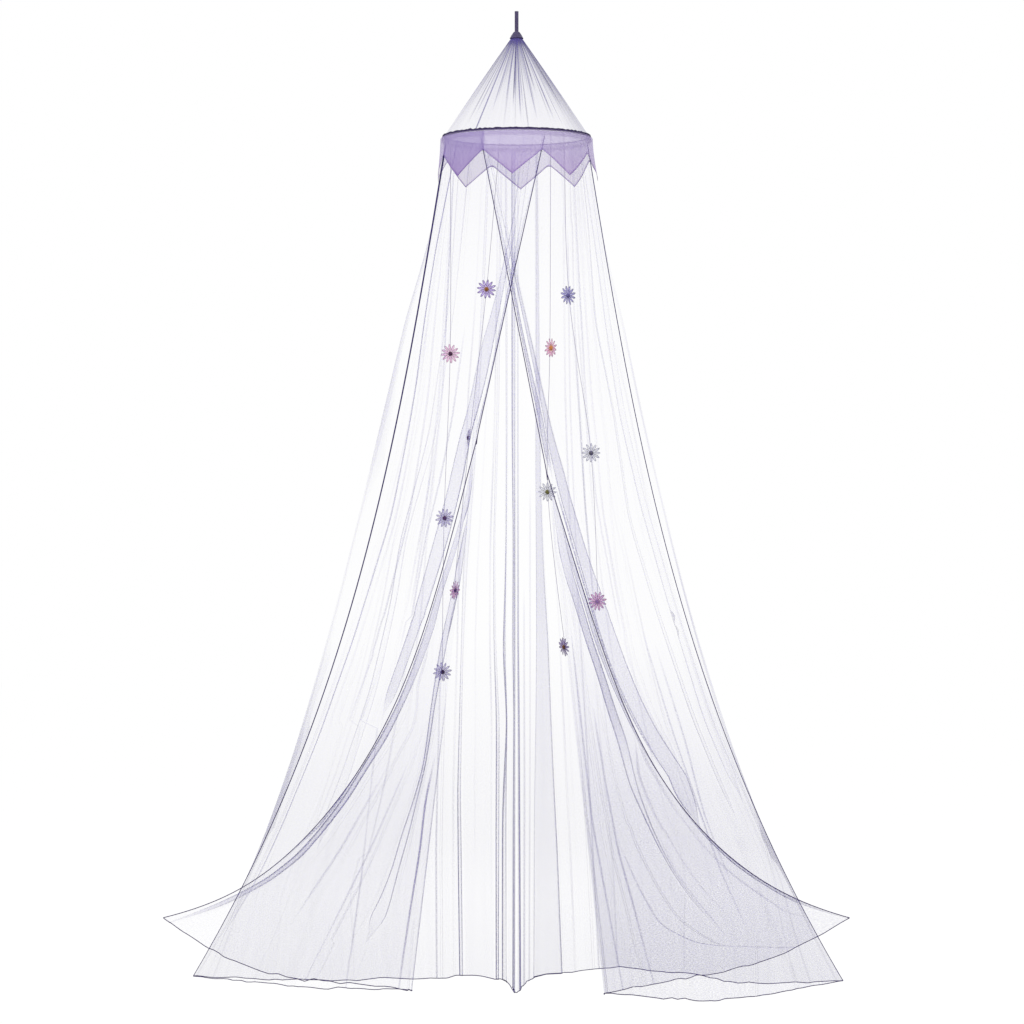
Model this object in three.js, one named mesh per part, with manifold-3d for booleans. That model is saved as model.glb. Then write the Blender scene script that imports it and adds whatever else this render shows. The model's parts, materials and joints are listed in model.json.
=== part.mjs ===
// Hoop-and-net bed canopy, hung from a ceiling hook by a tape loop.
// Millimetres, +Z up, front towards -Y. The origin is the point of the loop that rests on the hook.
import * as THREE from 'three';
import { mergeVertices } from 'three/addons/utils/BufferGeometryUtils.js';
import Module from 'manifold-3d';

const wasm = await Module();
wasm.setup();

// General clearances
const seatGap = 0.3;
const cutOverrun = 2;

// Tape loop and the disc that it is stitched to
const tapeThickness = 2.2;
const tapeWidth = 10;
const eyeWidth = 5.2;
const loopDrop = 66;
const discThickness = 3;
const discRadius = 12;

// Gathers of the roof net
const roofGathers = 20;
const roofGatherDepth = 2.4;

// Cap over the gathers
const capDrop = 53;
const capHeight = 17.5;
const capWall = 1.2;
const capGatherShare = 0.25;

// Hoop, its joiner sleeves and its fabric casing
const hoopRadius = 191;
const hoopDepth = 338;
const hoopTube = 5;
const joinerBore = hoopTube + seatGap;
const joinerWall = 1.2;
const joinerLength = 60;
const casingWall = 1.1;
const casingSlack = 1;
const casingHalfWidth = joinerBore + joinerWall + casingSlack + casingWall;
const casingHalfHeight = 9.5;
const slitHalfAngle = 0.16;

// Cloth
const netThickness = 1;
const valanceThickness = 1;
const valancePoints = 8;
const valanceValley = 35;
const valanceTip = 99;
const valanceFlareLeft = 8;
const valanceFlareRight = 15;
const valanceFlarePower = 1.5;
const valancePhase = THREE.MathUtils.degToRad(-3.2);
const valanceLap = 3;

// Skirt, measured from the origin
const netTopInset = 3;
const netTopRadius = hoopRadius - netTopInset;
const hemDepth = 2562;
const backHemDepth = 2590;
const sideHalfWidth = 868;
const sideY = 170;
const backY = 310;
const backLift = 30;
const seamGap = 1.5;
const seamAngle = THREE.MathUtils.degToRad(95);
const seamHalf = 45;
const seamDraw = 55;
const bellShare = 0.47;
const bellPower = 3;

// Hem of the back breadths, as shares of the half width and of the depth behind the hoop
const backOuterShares = { left: { x: 0.7, y: 0.93 }, right: { x: 0.7, y: 0.8 } };
const backInnerShare = 0.36;

// Folds of a breadth: how many, how deep, and how they grow down and fade at the edges
const backFoldCount = 5;
const backFoldDepth = 20;
const backFoldShares = { x: 0.35, y: 1 };
const frontFoldCount = 4;
const frontFoldDepth = 9;
const frontFoldShares = { x: 0, y: 1 };
const foldGrowth = 1.2;
const foldFade = 0.7;

// Front panels: where each free edge starts at the hoop, and its crease
const leftEdgeAngle = THREE.MathUtils.degToRad(12);
const rightEdgeAngle = THREE.MathUtils.degToRad(20);
const lapOffset = 4;
const lapStartShare = 0.4;
const lapEndShare = 0.65;
const leftFoldTop = new THREE.Vector3(-100, -166, -1117);
const leftFoldFoot = new THREE.Vector3(-273, -82, -hemDepth);
const rightFoldTop = new THREE.Vector3(75.5, -156, -1208);
const rightFoldFoot = new THREE.Vector3(226, -133, -hemDepth);
const leftHemMiddle = new THREE.Vector3(-560, -15, -hemDepth);
const rightHemDip = 18;
const rightHemMiddle = new THREE.Vector3(520, -128, -hemDepth - rightHemDip);

// Wings: the far corner of each, and how its width grows from the fold down
const leftCornerLift = 184;
const rightCornerLift = 199;
const leftCorner = new THREE.Vector3(-925, -30, -hemDepth + leftCornerLift);
const rightCorner = new THREE.Vector3(859, -150, -hemDepth + rightCornerLift);
const leftHemSag = 63;
const rightHemSag = 42;
const leftStraightShare = 0.28;
const rightStraightShare = 0.36;
const widthPower = 5;
const sagPower = 3;
const sagSkew = 1.4;
const creaseClearance = 0.95;
const creaseCurl = 13;
const curlShare = 1 / 6;
const narrowTopShare = 0.06;
const rowPower = 1.6;

// Garlands and flowers
const threadRadius = 0.5;
const knotRadius = 2;
const topKnotRadius = 2;
const petalRadius = 24.5;
const petalCount = 12;
const petalThickness = 1.2;
const petalRootRadius = 13;
const petalTipShare = 0.97;
const petalWidthShare = 0.45;
const beadRadius = 3;
const beadHeight = 8;
const beadBore = 1.15;
const buttonRadius = 6;
const buttonHeight = 4;
const threadTail = 24;

// Colours
const colours = {
  tape: 0x4b4169,
  cap: 0x3f355a,
  disc: 0xd8d4de,
  roof: 0xb9aed0,
  hoop: 0xe8e6ea,
  joiner: 0xdcdce0,
  casing: 0x64508c,
  valance: 0x8f78bd,
  net: 0xe4e0f0,
  thread: 0x8d86a0,
  button: 0x8a5a3c,
};

const canopy = new THREE.Group();

function addMesh(name, geometry, colour, roughness) {
  const material = new THREE.MeshStandardMaterial({ color: colour, roughness: roughness, metalness: 0 });
  const mesh = new THREE.Mesh(geometry, material);
  mesh.name = name;
  canopy.add(mesh);
  return mesh;
}

// Closed solids for cutting and joining
function solidOf(geometry) {
  const bare = geometry.clone();
  bare.deleteAttribute('normal');
  bare.deleteAttribute('uv');
  const welded = mergeVertices(bare, 1e-4);
  const meshData = new wasm.Mesh({
    numProp: 3,
    vertProperties: new Float32Array(welded.attributes.position.array),
    triVerts: new Uint32Array(welded.index.array),
  });
  return new wasm.Manifold(meshData);
}

function geometryOf(solid) {
  const meshData = solid.getMesh();
  const geometry = new THREE.BufferGeometry();
  geometry.setAttribute('position', new THREE.BufferAttribute(new Float32Array(meshData.vertProperties), 3));
  geometry.setIndex(new THREE.BufferAttribute(new Uint32Array(meshData.triVerts), 1));
  geometry.computeVertexNormals();
  return geometry;
}

// A cloth: the middle surface pointAt(u, v) is thickened to both sides and closed at its rim.
// With wrap, the last column joins the first.
function clothGeometry(pointAt, columns, rows, thickness, wrap = false) {
  const across = wrap ? columns : columns + 1;
  const middle = [];
  for (let row = 0; row <= rows; row += 1) {
    for (let column = 0; column < across; column += 1) {
      middle.push(pointAt(column / columns, row / rows));
    }
  }
  const at = (column, row) => middle[row * across + (wrap ? (column + across) % across : column)];
  const positions = [];
  for (const side of [1, -1]) {
    for (let row = 0; row <= rows; row += 1) {
      for (let column = 0; column < across; column += 1) {
        const left = wrap ? column - 1 : Math.max(column - 1, 0);
        const right = wrap ? column + 1 : Math.min(column + 1, columns);
        const along = at(right, row).clone().sub(at(left, row));
        const down = at(column, Math.min(row + 1, rows)).clone().sub(at(column, Math.max(row - 1, 0)));
        const normal = along.cross(down).normalize();
        const point = at(column, row).clone().addScaledVector(normal, side * thickness / 2);
        positions.push(point.x, point.y, point.z);
      }
    }
  }
  const back = across * (rows + 1);
  const index = [];
  const quad = (a, b, c, d) => index.push(a, b, c, a, c, d);
  const id = (column, row) => row * across + (wrap ? column % across : column);
  for (let row = 0; row < rows; row += 1) {
    for (let column = 0; column < columns; column += 1) {
      const corners = [id(column, row), id(column + 1, row), id(column + 1, row + 1), id(column, row + 1)];
      quad(corners[0], corners[1], corners[2], corners[3]);
      quad(back + corners[0], back + corners[3], back + corners[2], back + corners[1]);
    }
  }
  for (let column = 0; column < columns; column += 1) {
    const next = column + 1;
    quad(id(next, 0), id(column, 0), back + id(column, 0), back + id(next, 0));
    quad(id(column, rows), id(next, rows), back + id(next, rows), back + id(column, rows));
  }
  for (let row = 0; row < rows && !wrap; row += 1) {
    quad(id(0, row), id(0, row + 1), back + id(0, row + 1), back + id(0, row));
    quad(id(columns, row + 1), id(columns, row), back + id(columns, row), back + id(columns, row + 1));
  }
  const geometry = new THREE.BufferGeometry();
  geometry.setAttribute('position', new THREE.BufferAttribute(new Float32Array(positions), 3));
  geometry.setIndex(index);
  geometry.computeVertexNormals();
  return geometry;
}

// A ring turned about the vertical axis from a closed profile of (radius, height) points
function turned(profile, segments) {
  const points = profile.map(([radius, height]) => new THREE.Vector2(radius, height));
  points.push(points[0].clone());
  const geometry = new THREE.LatheGeometry(points, segments);
  geometry.rotateX(Math.PI / 2);
  return geometry;
}

function smooth(low, high, value) {
  return THREE.MathUtils.smoothstep(value, low, high);
}

// Hanging loop: one band of tape bent over the hook, its two legs stitched to the disc
function hangingLoop() {
  const inner = eyeWidth / 2;
  const outer = inner + tapeThickness;
  const outline = new THREE.Shape();
  outline.moveTo(outer, -loopDrop);
  outline.lineTo(outer, -inner);
  outline.absarc(0, -inner, outer, 0, Math.PI, false);
  outline.lineTo(-outer, -loopDrop);
  outline.lineTo(-inner, -loopDrop);
  outline.lineTo(-inner, -inner);
  outline.absarc(0, -inner, inner, Math.PI, 0, true);
  outline.lineTo(inner, -loopDrop);
  const settings = { depth: tapeWidth, bevelEnabled: false, curveSegments: 8 };
  const geometry = new THREE.ExtrudeGeometry(outline, settings);
  geometry.translate(0, 0, -tapeWidth / 2);
  geometry.rotateX(Math.PI / 2);
  geometry.rotateZ(Math.PI / 2);
  return geometry;
}
addMesh('hanging_loop', hangingLoop(), colours.tape, 0.85);

// Anchor disc, a seat gap under the loop's legs
const discTop = -loopDrop - seatGap;
const discGeometry = new THREE.CylinderGeometry(discRadius, discRadius, discThickness, 24);
discGeometry.rotateX(Math.PI / 2);
discGeometry.translate(0, 0, discTop - discThickness / 2);
addMesh('anchor_disc', discGeometry, colours.disc, 0.8);

// Roof net: a straight cone from the disc's rim to the top of the casing, gathered into ribs
const casingTop = -hoopDepth + casingHalfHeight;
const roofTopRadius = discRadius + seatGap + netThickness;
const roofTopZ = discTop - discThickness / 2;
const roofFootRadius = hoopRadius;
const roofFootZ = casingTop + seatGap;
function roofPoint(u, v) {
  const angle = u * 2 * Math.PI;
  const gather = roofGatherDepth * Math.sin(Math.PI * v) * Math.cos(roofGathers * angle);
  const radius = THREE.MathUtils.lerp(roofTopRadius, roofFootRadius, v) + gather;
  return new THREE.Vector3(
    radius * Math.sin(angle),
    -radius * Math.cos(angle),
    THREE.MathUtils.lerp(roofTopZ, roofFootZ, v),
  );
}
addMesh('roof_net', clothGeometry(roofPoint, roofGathers * 3, 4, netThickness, true), colours.roof, 0.9);

// Cap: a short cone over the gathers, open at the top around the tape
const capTopRadius = Math.hypot(eyeWidth / 2 + tapeThickness, tapeWidth / 2) + seatGap;
const roofSlope = (roofFootRadius - roofTopRadius) / (roofTopZ - roofFootZ);
const capFootZ = -capDrop - capHeight;
const capFootRadius = roofTopRadius + (roofTopZ - capFootZ) * roofSlope + netThickness + seatGap
  + roofGatherDepth * capGatherShare;
const capProfile = [
  [capTopRadius, -capDrop],
  [capFootRadius, capFootZ],
  [capFootRadius + capWall, capFootZ],
  [capTopRadius + capWall, -capDrop],
];
addMesh('crown_cap', turned(capProfile, 24), colours.cap, 0.9);

// Hoop halves: solid rods bent to half circles, butted inside two joiner sleeves
class ArcPath extends THREE.Curve {
  constructor(radius, height, from, to) {
    super();
    this.radius = radius;
    this.height = height;
    this.from = from;
    this.to = to;
  }

  getPoint(share, target = new THREE.Vector3()) {
    const angle = THREE.MathUtils.lerp(this.from, this.to, share);
    return target.set(this.radius * Math.sin(angle), -this.radius * Math.cos(angle), this.height);
  }
}

function rod(path, radius, sides, steps) {
  const section = new THREE.Shape();
  for (let side = 0; side < sides; side += 1) {
    const angle = (side + 0.5) * 2 * Math.PI / sides;
    const x = radius * Math.cos(angle);
    const y = radius * Math.sin(angle);
    if (side === 0) {
      section.moveTo(x, y);
    } else {
      section.lineTo(x, y);
    }
  }
  return new THREE.ExtrudeGeometry(section, { steps: steps, bevelEnabled: false, extrudePath: path });
}

const buttAngle = seatGap / hoopRadius;
const quarter = Math.PI / 2;
const frontHalf = new ArcPath(hoopRadius, -hoopDepth, -quarter + buttAngle, quarter - buttAngle);
const backHalf = new ArcPath(hoopRadius, -hoopDepth, quarter + buttAngle, 3 * quarter - buttAngle);
addMesh('hoop_front', rod(frontHalf, hoopTube, 8, 32), colours.hoop, 0.5);
addMesh('hoop_back', rod(backHalf, hoopTube, 8, 32), colours.hoop, 0.5);

// Joiner sleeves: short bored tubes over the butted ends
function joiner(centreAngle) {
  const reach = joinerLength / 2 / hoopRadius;
  const body = new ArcPath(hoopRadius, -hoopDepth, centreAngle - reach, centreAngle + reach);
  const coreReach = reach + cutOverrun / hoopRadius;
  const core = new ArcPath(hoopRadius, -hoopDepth, centreAngle - coreReach, centreAngle + coreReach);
  const outer = solidOf(rod(body, joinerBore + joinerWall, 12, 8));
  const bore = solidOf(rod(core, joinerBore / Math.cos(Math.PI / 12), 12, 8));
  return geometryOf(outer.subtract(bore));
}
addMesh('joiner_right', joiner(quarter), colours.joiner, 0.5);
addMesh('joiner_left', joiner(-quarter), colours.joiner, 0.5);

// Casing: an oval fabric tube around the hoop, slit along its inside
const casingProfile = [];
const casingSides = 10;
for (let side = 0; side <= casingSides; side += 1) {
  const angle = Math.PI + slitHalfAngle + side * (2 * Math.PI - 2 * slitHalfAngle) / casingSides;
  casingProfile.push([
    hoopRadius + casingHalfWidth * Math.cos(angle),
    -hoopDepth + casingHalfHeight * Math.sin(angle),
  ]);
}
for (let side = casingSides; side >= 0; side -= 1) {
  const angle = Math.PI + slitHalfAngle + side * (2 * Math.PI - 2 * slitHalfAngle) / casingSides;
  casingProfile.push([
    hoopRadius + (casingHalfWidth - casingWall) * Math.cos(angle),
    -hoopDepth + (casingHalfHeight - casingWall) * Math.sin(angle),
  ]);
}
addMesh('hoop_casing', turned(casingProfile, 40), colours.casing, 0.9);

// Valance: hangs from the outside of the casing, eight points, flared over the skirt at both sides
const valanceRadius = hoopRadius + casingHalfWidth + seatGap + valanceThickness / 2;
const valanceTopZ = -hoopDepth + valanceLap;
function valancePoint(u, v) {
  const angle = u * 2 * Math.PI;
  const turn = ((angle - valancePhase) / (2 * Math.PI) * valancePoints + 2 * valancePoints) % 1;
  const towardsTip = 1 - 2 * Math.min(turn, 1 - turn);
  const foot = THREE.MathUtils.lerp(valanceValley, valanceTip, towardsTip) + casingHalfHeight;
  const drop = v * (foot + valanceLap);
  const sideFlare = Math.sin(angle) < 0 ? valanceFlareLeft : valanceFlareRight;
  const fall = (drop / (valanceTip + casingHalfHeight)) ** valanceFlarePower;
  const radius = valanceRadius + sideFlare * Math.sin(angle) ** 2 * fall;
  return new THREE.Vector3(radius * Math.sin(angle), -radius * Math.cos(angle), valanceTopZ - drop);
}
addMesh('valance', clothGeometry(valancePoint, 64, 2, valanceThickness, true), colours.valance, 0.85);

// Skirt breadths: a gathered top edge on the hoop, a hem curve, and a bell-shaped flare between them
const netTopZ = -hoopDepth - casingHalfHeight - seatGap;

function hemPoint(points, share) {
  const curve = new THREE.CatmullRomCurve3(points, false, 'centripetal');
  return curve.getPoint(share);
}

function rimPoint(radius, angle) {
  return new THREE.Vector3(radius * Math.sin(angle), -radius * Math.cos(angle), netTopZ);
}

function breadth(spec) {
  return (u, v) => {
    const angle = THREE.MathUtils.lerp(spec.fromAngle, spec.toAngle, u);
    const radius = netTopRadius + (spec.offset ? spec.offset * smooth(lapStartShare, lapEndShare, u) : 0);
    const top = rimPoint(radius, angle);
    const hem = hemPoint(spec.hem, u);
    const bell = spec.bell(u);
    const share = (1 - bell) * v + bell * v ** bellPower;
    const point = new THREE.Vector3(
      THREE.MathUtils.lerp(top.x, hem.x, share),
      THREE.MathUtils.lerp(top.y, hem.y, share),
      THREE.MathUtils.lerp(top.z, hem.z, v),
    );
    if (spec.edge) {
      const endTop = rimPoint(radius, spec.toAngle);
      const wanted = spec.edge(v, endTop);
      const plain = endTop.clone().lerp(spec.hem[spec.hem.length - 1], v);
      point.addScaledVector(wanted.sub(plain), u ** 2);
    }
    const outward = new THREE.Vector3(hem.x * spec.foldShares.x, hem.y * spec.foldShares.y, 0).normalize();
    const fade = Math.sin(Math.PI * u) ** foldFade;
    const fold = spec.foldDepth * v ** foldGrowth * fade * Math.sin(2 * Math.PI * spec.foldCount * u);
    return point.addScaledVector(outward, fold);
  };
}

const sideLeftHem = new THREE.Vector3(-sideHalfWidth, sideY, -hemDepth);
const sideRightHem = new THREE.Vector3(sideHalfWidth, sideY / 2, -hemDepth);
const seamFoot = new THREE.Vector3(seamGap / 2, backY - seamDraw, -backHemDepth - backLift);
const seamShoulder = new THREE.Vector3(seamHalf, backY, -backHemDepth);

function mirrored(point) {
  return new THREE.Vector3(-point.x, point.y, point.z);
}

function backOuter(side, shares) {
  return new THREE.Vector3(side * sideHalfWidth * shares.x, backY * shares.y, -backHemDepth);
}

function seamed(point) {
  return point.clone().add(new THREE.Vector3(0, seamGap, 0));
}

const backLeft = breadth({
  fromAngle: -seamAngle - seamGap / netTopRadius,
  toAngle: -Math.PI + seamGap / 2 / netTopRadius,
  hem: [
    seamed(sideLeftHem),
    backOuter(-1, backOuterShares.left),
    new THREE.Vector3(-sideHalfWidth * backInnerShare, backY, -backHemDepth),
    mirrored(seamShoulder),
    mirrored(seamFoot),
  ],
  bell: (u) => bellShare * (1 - u),
  foldCount: backFoldCount,
  foldDepth: backFoldDepth,
  foldShares: backFoldShares,
});
addMesh('net_back_left', clothGeometry(backLeft, 30, 8, netThickness), colours.net, 0.9);

const backRight = breadth({
  fromAngle: Math.PI - seamGap / 2 / netTopRadius,
  toAngle: seamAngle + seamGap / netTopRadius,
  hem: [
    seamFoot,
    seamShoulder,
    new THREE.Vector3(sideHalfWidth * backInnerShare, backY, -backHemDepth + backLift),
    backOuter(1, backOuterShares.right),
    seamed(sideRightHem),
  ],
  bell: (u) => bellShare * u,
  foldCount: backFoldCount,
  foldDepth: backFoldDepth,
  foldShares: backFoldShares,
});
addMesh('net_back_right', clothGeometry(backRight, 30, 8, netThickness), colours.net, 0.9);

// A front breadth ends at its free edge down to the fold, and then a hair short of the crease line
function frontEdge(foldTop, foldFoot, inward) {
  const away = new THREE.Vector3(inward * creaseClearance, 0, 0);
  return (v, endTop) => {
    const foldShare = (foldTop.z - endTop.z) / (foldFoot.z - endTop.z);
    if (v <= foldShare) {
      return endTop.clone().lerp(foldTop, v / foldShare).addScaledVector(away, v / foldShare);
    }
    return foldTop.clone().lerp(foldFoot, (v - foldShare) / (1 - foldShare)).add(away);
  };
}

const frontLeft = breadth({
  fromAngle: -seamAngle + seamGap / 2 / netTopRadius,
  toAngle: leftEdgeAngle,
  offset: lapOffset,
  hem: [sideLeftHem, leftHemMiddle, leftFoldFoot],
  bell: (u) => bellShare * (1 - u),
  edge: frontEdge(leftFoldTop, leftFoldFoot, -1),
  foldCount: frontFoldCount,
  foldDepth: frontFoldDepth,
  foldShares: frontFoldShares,
});
addMesh('net_front_left', clothGeometry(frontLeft, 24, 11, netThickness), colours.net, 0.9);

const frontRight = breadth({
  fromAngle: seamAngle - seamGap / 2 / netTopRadius,
  toAngle: -rightEdgeAngle,
  offset: -lapOffset,
  hem: [sideRightHem, rightHemMiddle, rightFoldFoot],
  bell: (u) => bellShare * (1 - u),
  edge: frontEdge(rightFoldTop, rightFoldFoot, 1),
  foldCount: frontFoldCount,
  foldDepth: frontFoldDepth,
  foldShares: frontFoldShares,
});
addMesh('net_front_right', clothGeometry(frontRight, 24, 11, netThickness), colours.net, 0.9);

// Wings: folded back over the front breadths. Rows run from the crease to the free edge.
function wing(foldTop, foldFoot, corner, sag, straightShare, side) {
  const creaseAt = (z) => {
    const share = (z - foldTop.z) / (foldFoot.z - foldTop.z);
    return foldTop.clone().lerp(foldFoot, share);
  };
  const cornerCrease = creaseAt(corner.z);
  return (u, v) => {
    const from = foldTop.clone().lerp(foldFoot, v);
    const edgeZ = THREE.MathUtils.lerp(foldTop.z, corner.z, v);
    const width = straightShare * v + (1 - straightShare) * v ** widthPower;
    const edge = creaseAt(edgeZ);
    edge.x += width * (corner.x - cornerCrease.x);
    edge.y += width * (corner.y - cornerCrease.y);
    const reach = Math.abs(edge.x - from.x);
    const curl = Math.min(creaseCurl, reach * 2 * curlShare);
    const bend = Math.min(u / curlShare, 1) * Math.PI / 2;
    const forward = creaseClearance + curl * Math.sin(bend);
    const beyond = Math.max(u - curlShare, 0) / (1 - curlShare);
    const sideways = curl * (1 - Math.cos(bend)) + beyond * (reach - curl);
    const along = reach > 0 ? sideways / reach : 0;
    const point = from.clone().lerp(edge, along);
    point.x = from.x + side * sideways;
    point.y -= forward;
    point.z -= sag * v ** sagPower * Math.sin(Math.PI * along ** sagSkew);
    return point;
  };
}

// The narrow tip of a wing is left off, and its rows are closer together towards the hem
function trimmed(wingPoint) {
  return (u, v) => wingPoint(u, THREE.MathUtils.lerp(narrowTopShare, 1, 1 - (1 - v) ** rowPower));
}

const wingLeft = wing(leftFoldTop, leftFoldFoot, leftCorner, leftHemSag, leftStraightShare, -1);
const wingRight = wing(rightFoldTop, rightFoldFoot, rightCorner, rightHemSag, rightStraightShare, 1);
addMesh('flap_left', clothGeometry(trimmed(wingLeft), 18, 11, netThickness), colours.net, 0.9);
addMesh('flap_right', clothGeometry(trimmed(wingRight), 18, 11, netThickness), colours.net, 0.9);

// Garlands: a thread with a top knot inside the casing and a knot under each flower
const hangRadius = hoopRadius - casingHalfWidth - seatGap - topKnotRadius;

function hangPoint(x) {
  return new THREE.Vector3(x, -Math.sqrt(hangRadius ** 2 - x ** 2), -hoopDepth);
}

const garlands = [
  {
    name: 'garland_a',
    top: hangPoint(-173),
    places: [
      new THREE.Vector3(-174, -42, -902),
      new THREE.Vector3(-190, -36, -1332),
      new THREE.Vector3(-195, -32, -1735),
    ],
    turns: [10, 20, 15],
    colours: [0xc2569c, 0xb9a6d6, 0xb287c4],
    numbers: ['03', '08', '12'],
  },
  {
    name: 'garland_b',
    top: hangPoint(-42),
    places: [
      new THREE.Vector3(-78, -132, -739),
      new THREE.Vector3(-122, -116, -1124),
      new THREE.Vector3(-163, -98, -1519),
    ],
    turns: [0, -80, 60],
    colours: [0x6a4fa3, 0xa08bc9, 0xb55c9f],
    numbers: ['01', '05', '09'],
  },
  {
    name: 'garland_c',
    top: hangPoint(88),
    places: [
      new THREE.Vector3(86, -130, -891),
      new THREE.Vector3(81, -115, -1264),
      new THREE.Vector3(126, -88, -1667),
    ],
    turns: [50, -20, -60],
    colours: [0xc9569b, 0xbfb3d9, 0x7a5db0],
    numbers: ['04', '07', '11'],
  },
  {
    name: 'garland_d',
    top: hangPoint(122),
    places: [
      new THREE.Vector3(136, -103, -753),
      new THREE.Vector3(194, -74, -1162),
      new THREE.Vector3(212, -68, -1549),
    ],
    turns: [-42, 5, -20],
    colours: [0x6b50a6, 0xc3b9de, 0xb95aa0],
    numbers: ['02', '06', '10'],
  },
];

function knot(radius, centre) {
  const geometry = new THREE.SphereGeometry(radius, 6, 4);
  geometry.rotateX(Math.PI / 2);
  geometry.translate(centre.x, centre.y, centre.z);
  return solidOf(geometry);
}

function threadPath(garland) {
  const [, before, last] = garland.places;
  const tail = last.clone().addScaledVector(last.clone().sub(before).normalize(), threadTail);
  return new THREE.CatmullRomCurve3([garland.top, ...garland.places, tail], false, 'centripetal');
}

// A flower turns on the direction of its thread at the flower's place
function spinAxis(garland, place) {
  const path = threadPath(garland);
  const share = (garland.places.indexOf(place) + 1) / (path.points.length - 1);
  const nearby = knotRadius / path.getLength();
  const above = path.getPoint(share - nearby);
  const below = path.getPoint(share + nearby);
  return { at: path.getPoint(share), axis: above.sub(below).normalize() };
}

function garlandThread(garland) {
  let solid = solidOf(rod(threadPath(garland), threadRadius, 8, 20));
  solid = solid.add(knot(topKnotRadius, garland.top));
  for (const place of garland.places) {
    const { at, axis } = spinAxis(garland, place);
    const drop = beadHeight / 2 + seatGap + knotRadius;
    solid = solid.add(knot(knotRadius, at.clone().addScaledVector(axis, -drop)));
  }
  return geometryOf(solid);
}

// One flower: a ring of round-ended petals on a bored bead. Its face looks towards -Y before it is turned.
function petalOutline() {
  const outline = new THREE.Shape();
  const half = Math.PI / petalCount;
  for (let petal = 0; petal < petalCount; petal += 1) {
    const centre = petal * 2 * half;
    const stations = [
      [petalRootRadius, centre - half],
      [petalRadius * petalTipShare, centre - half * petalWidthShare],
      [petalRadius * petalTipShare, centre + half * petalWidthShare],
    ];
    for (const [radius, angle] of stations) {
      const x = radius * Math.cos(angle);
      const y = radius * Math.sin(angle);
      if (petal === 0 && radius === petalRootRadius) {
        outline.moveTo(x, y);
      } else {
        outline.lineTo(x, y);
      }
    }
  }
  return outline;
}

const petalBack = beadRadius - petalThickness / 2;
function flowerSolid() {
  const plate = new THREE.ExtrudeGeometry(petalOutline(), { depth: petalThickness, bevelEnabled: false });
  plate.rotateX(Math.PI / 2);
  plate.translate(0, -petalBack, 0);
  const bead = new THREE.CylinderGeometry(beadRadius, beadRadius, beadHeight, 8);
  bead.rotateX(Math.PI / 2);
  const bore = new THREE.CylinderGeometry(beadBore, beadBore, beadHeight + 2 * cutOverrun, 6);
  bore.rotateX(Math.PI / 2);
  return geometryOf(solidOf(plate).add(solidOf(bead)).subtract(solidOf(bore)));
}

function buttonSolid() {
  const profile = [new THREE.Vector2(0, 0), new THREE.Vector2(buttonRadius, 0)];
  for (let step = 1; step <= 3; step += 1) {
    const angle = step * Math.PI / 6;
    profile.push(new THREE.Vector2(buttonRadius * Math.cos(angle), buttonHeight * Math.sin(angle)));
  }
  profile[profile.length - 1].x = 0;
  const geometry = new THREE.LatheGeometry(profile, 10);
  geometry.rotateX(Math.PI);
  geometry.translate(0, -petalBack - petalThickness - seatGap, 0);
  return geometry;
}

const upward = new THREE.Vector3(0, 0, 1);
for (const garland of garlands) {
  addMesh(garland.name, garlandThread(garland), colours.thread, 0.7);
  garland.places.forEach((place, order) => {
    const { at, axis } = spinAxis(garland, place);
    const lean = new THREE.Quaternion().setFromUnitVectors(upward, axis);
    const turnAngle = THREE.MathUtils.degToRad(garland.turns[order]);
    const turn = new THREE.Quaternion().setFromAxisAngle(upward, turnAngle);
    const pieces = [
      addMesh(`flower_${garland.numbers[order]}`, flowerSolid(), garland.colours[order], 0.8),
      addMesh(`button_${garland.numbers[order]}`, buttonSolid(), colours.button, 0.7),
    ];
    for (const piece of pieces) {
      piece.quaternion.copy(lean.clone().multiply(turn));
      piece.position.copy(at);
    }
  });
}

export default canopy;
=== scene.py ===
# %% [markdown]
# # A hoop-and-net bed canopy
# The imported model is the frame of this scene. Each of its nodes is a closed solid at its real size, and
# the pieces below are made around it in the same metres: +Z up, the front towards -Y, the origin at the
# point of the tape loop that rests on the ceiling hook.

# %% Load the frame
import json
import math

import bpy
import numpy as np
from mathutils import Matrix, Vector


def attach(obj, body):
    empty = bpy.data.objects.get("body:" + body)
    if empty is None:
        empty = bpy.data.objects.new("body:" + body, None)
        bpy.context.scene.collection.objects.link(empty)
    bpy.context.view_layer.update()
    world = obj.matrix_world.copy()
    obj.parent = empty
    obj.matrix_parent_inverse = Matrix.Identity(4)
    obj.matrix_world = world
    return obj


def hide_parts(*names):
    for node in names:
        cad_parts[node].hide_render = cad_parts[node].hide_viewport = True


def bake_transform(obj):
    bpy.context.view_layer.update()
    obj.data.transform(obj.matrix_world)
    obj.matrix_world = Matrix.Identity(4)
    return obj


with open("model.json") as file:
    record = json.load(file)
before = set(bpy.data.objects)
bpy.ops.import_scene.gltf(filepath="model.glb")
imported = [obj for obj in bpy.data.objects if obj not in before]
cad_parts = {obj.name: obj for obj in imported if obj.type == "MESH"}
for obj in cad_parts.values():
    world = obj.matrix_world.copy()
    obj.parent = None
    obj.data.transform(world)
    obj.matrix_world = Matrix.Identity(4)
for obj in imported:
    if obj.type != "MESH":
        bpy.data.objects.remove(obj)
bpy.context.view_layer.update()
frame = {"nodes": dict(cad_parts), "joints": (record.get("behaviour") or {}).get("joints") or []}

nodes = frame["nodes"]

# %% [markdown]
# ## Camera
# The photograph is taken level, from 8.3 m in front of the hanging axis and 1.316 m below the hook,
# with a long lens. A long lens keeps the far side of the hoop nearly as large as the near side. The
# camera stands a centimetre to the left of the axis, which puts the canopy where the photograph has it.

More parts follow.
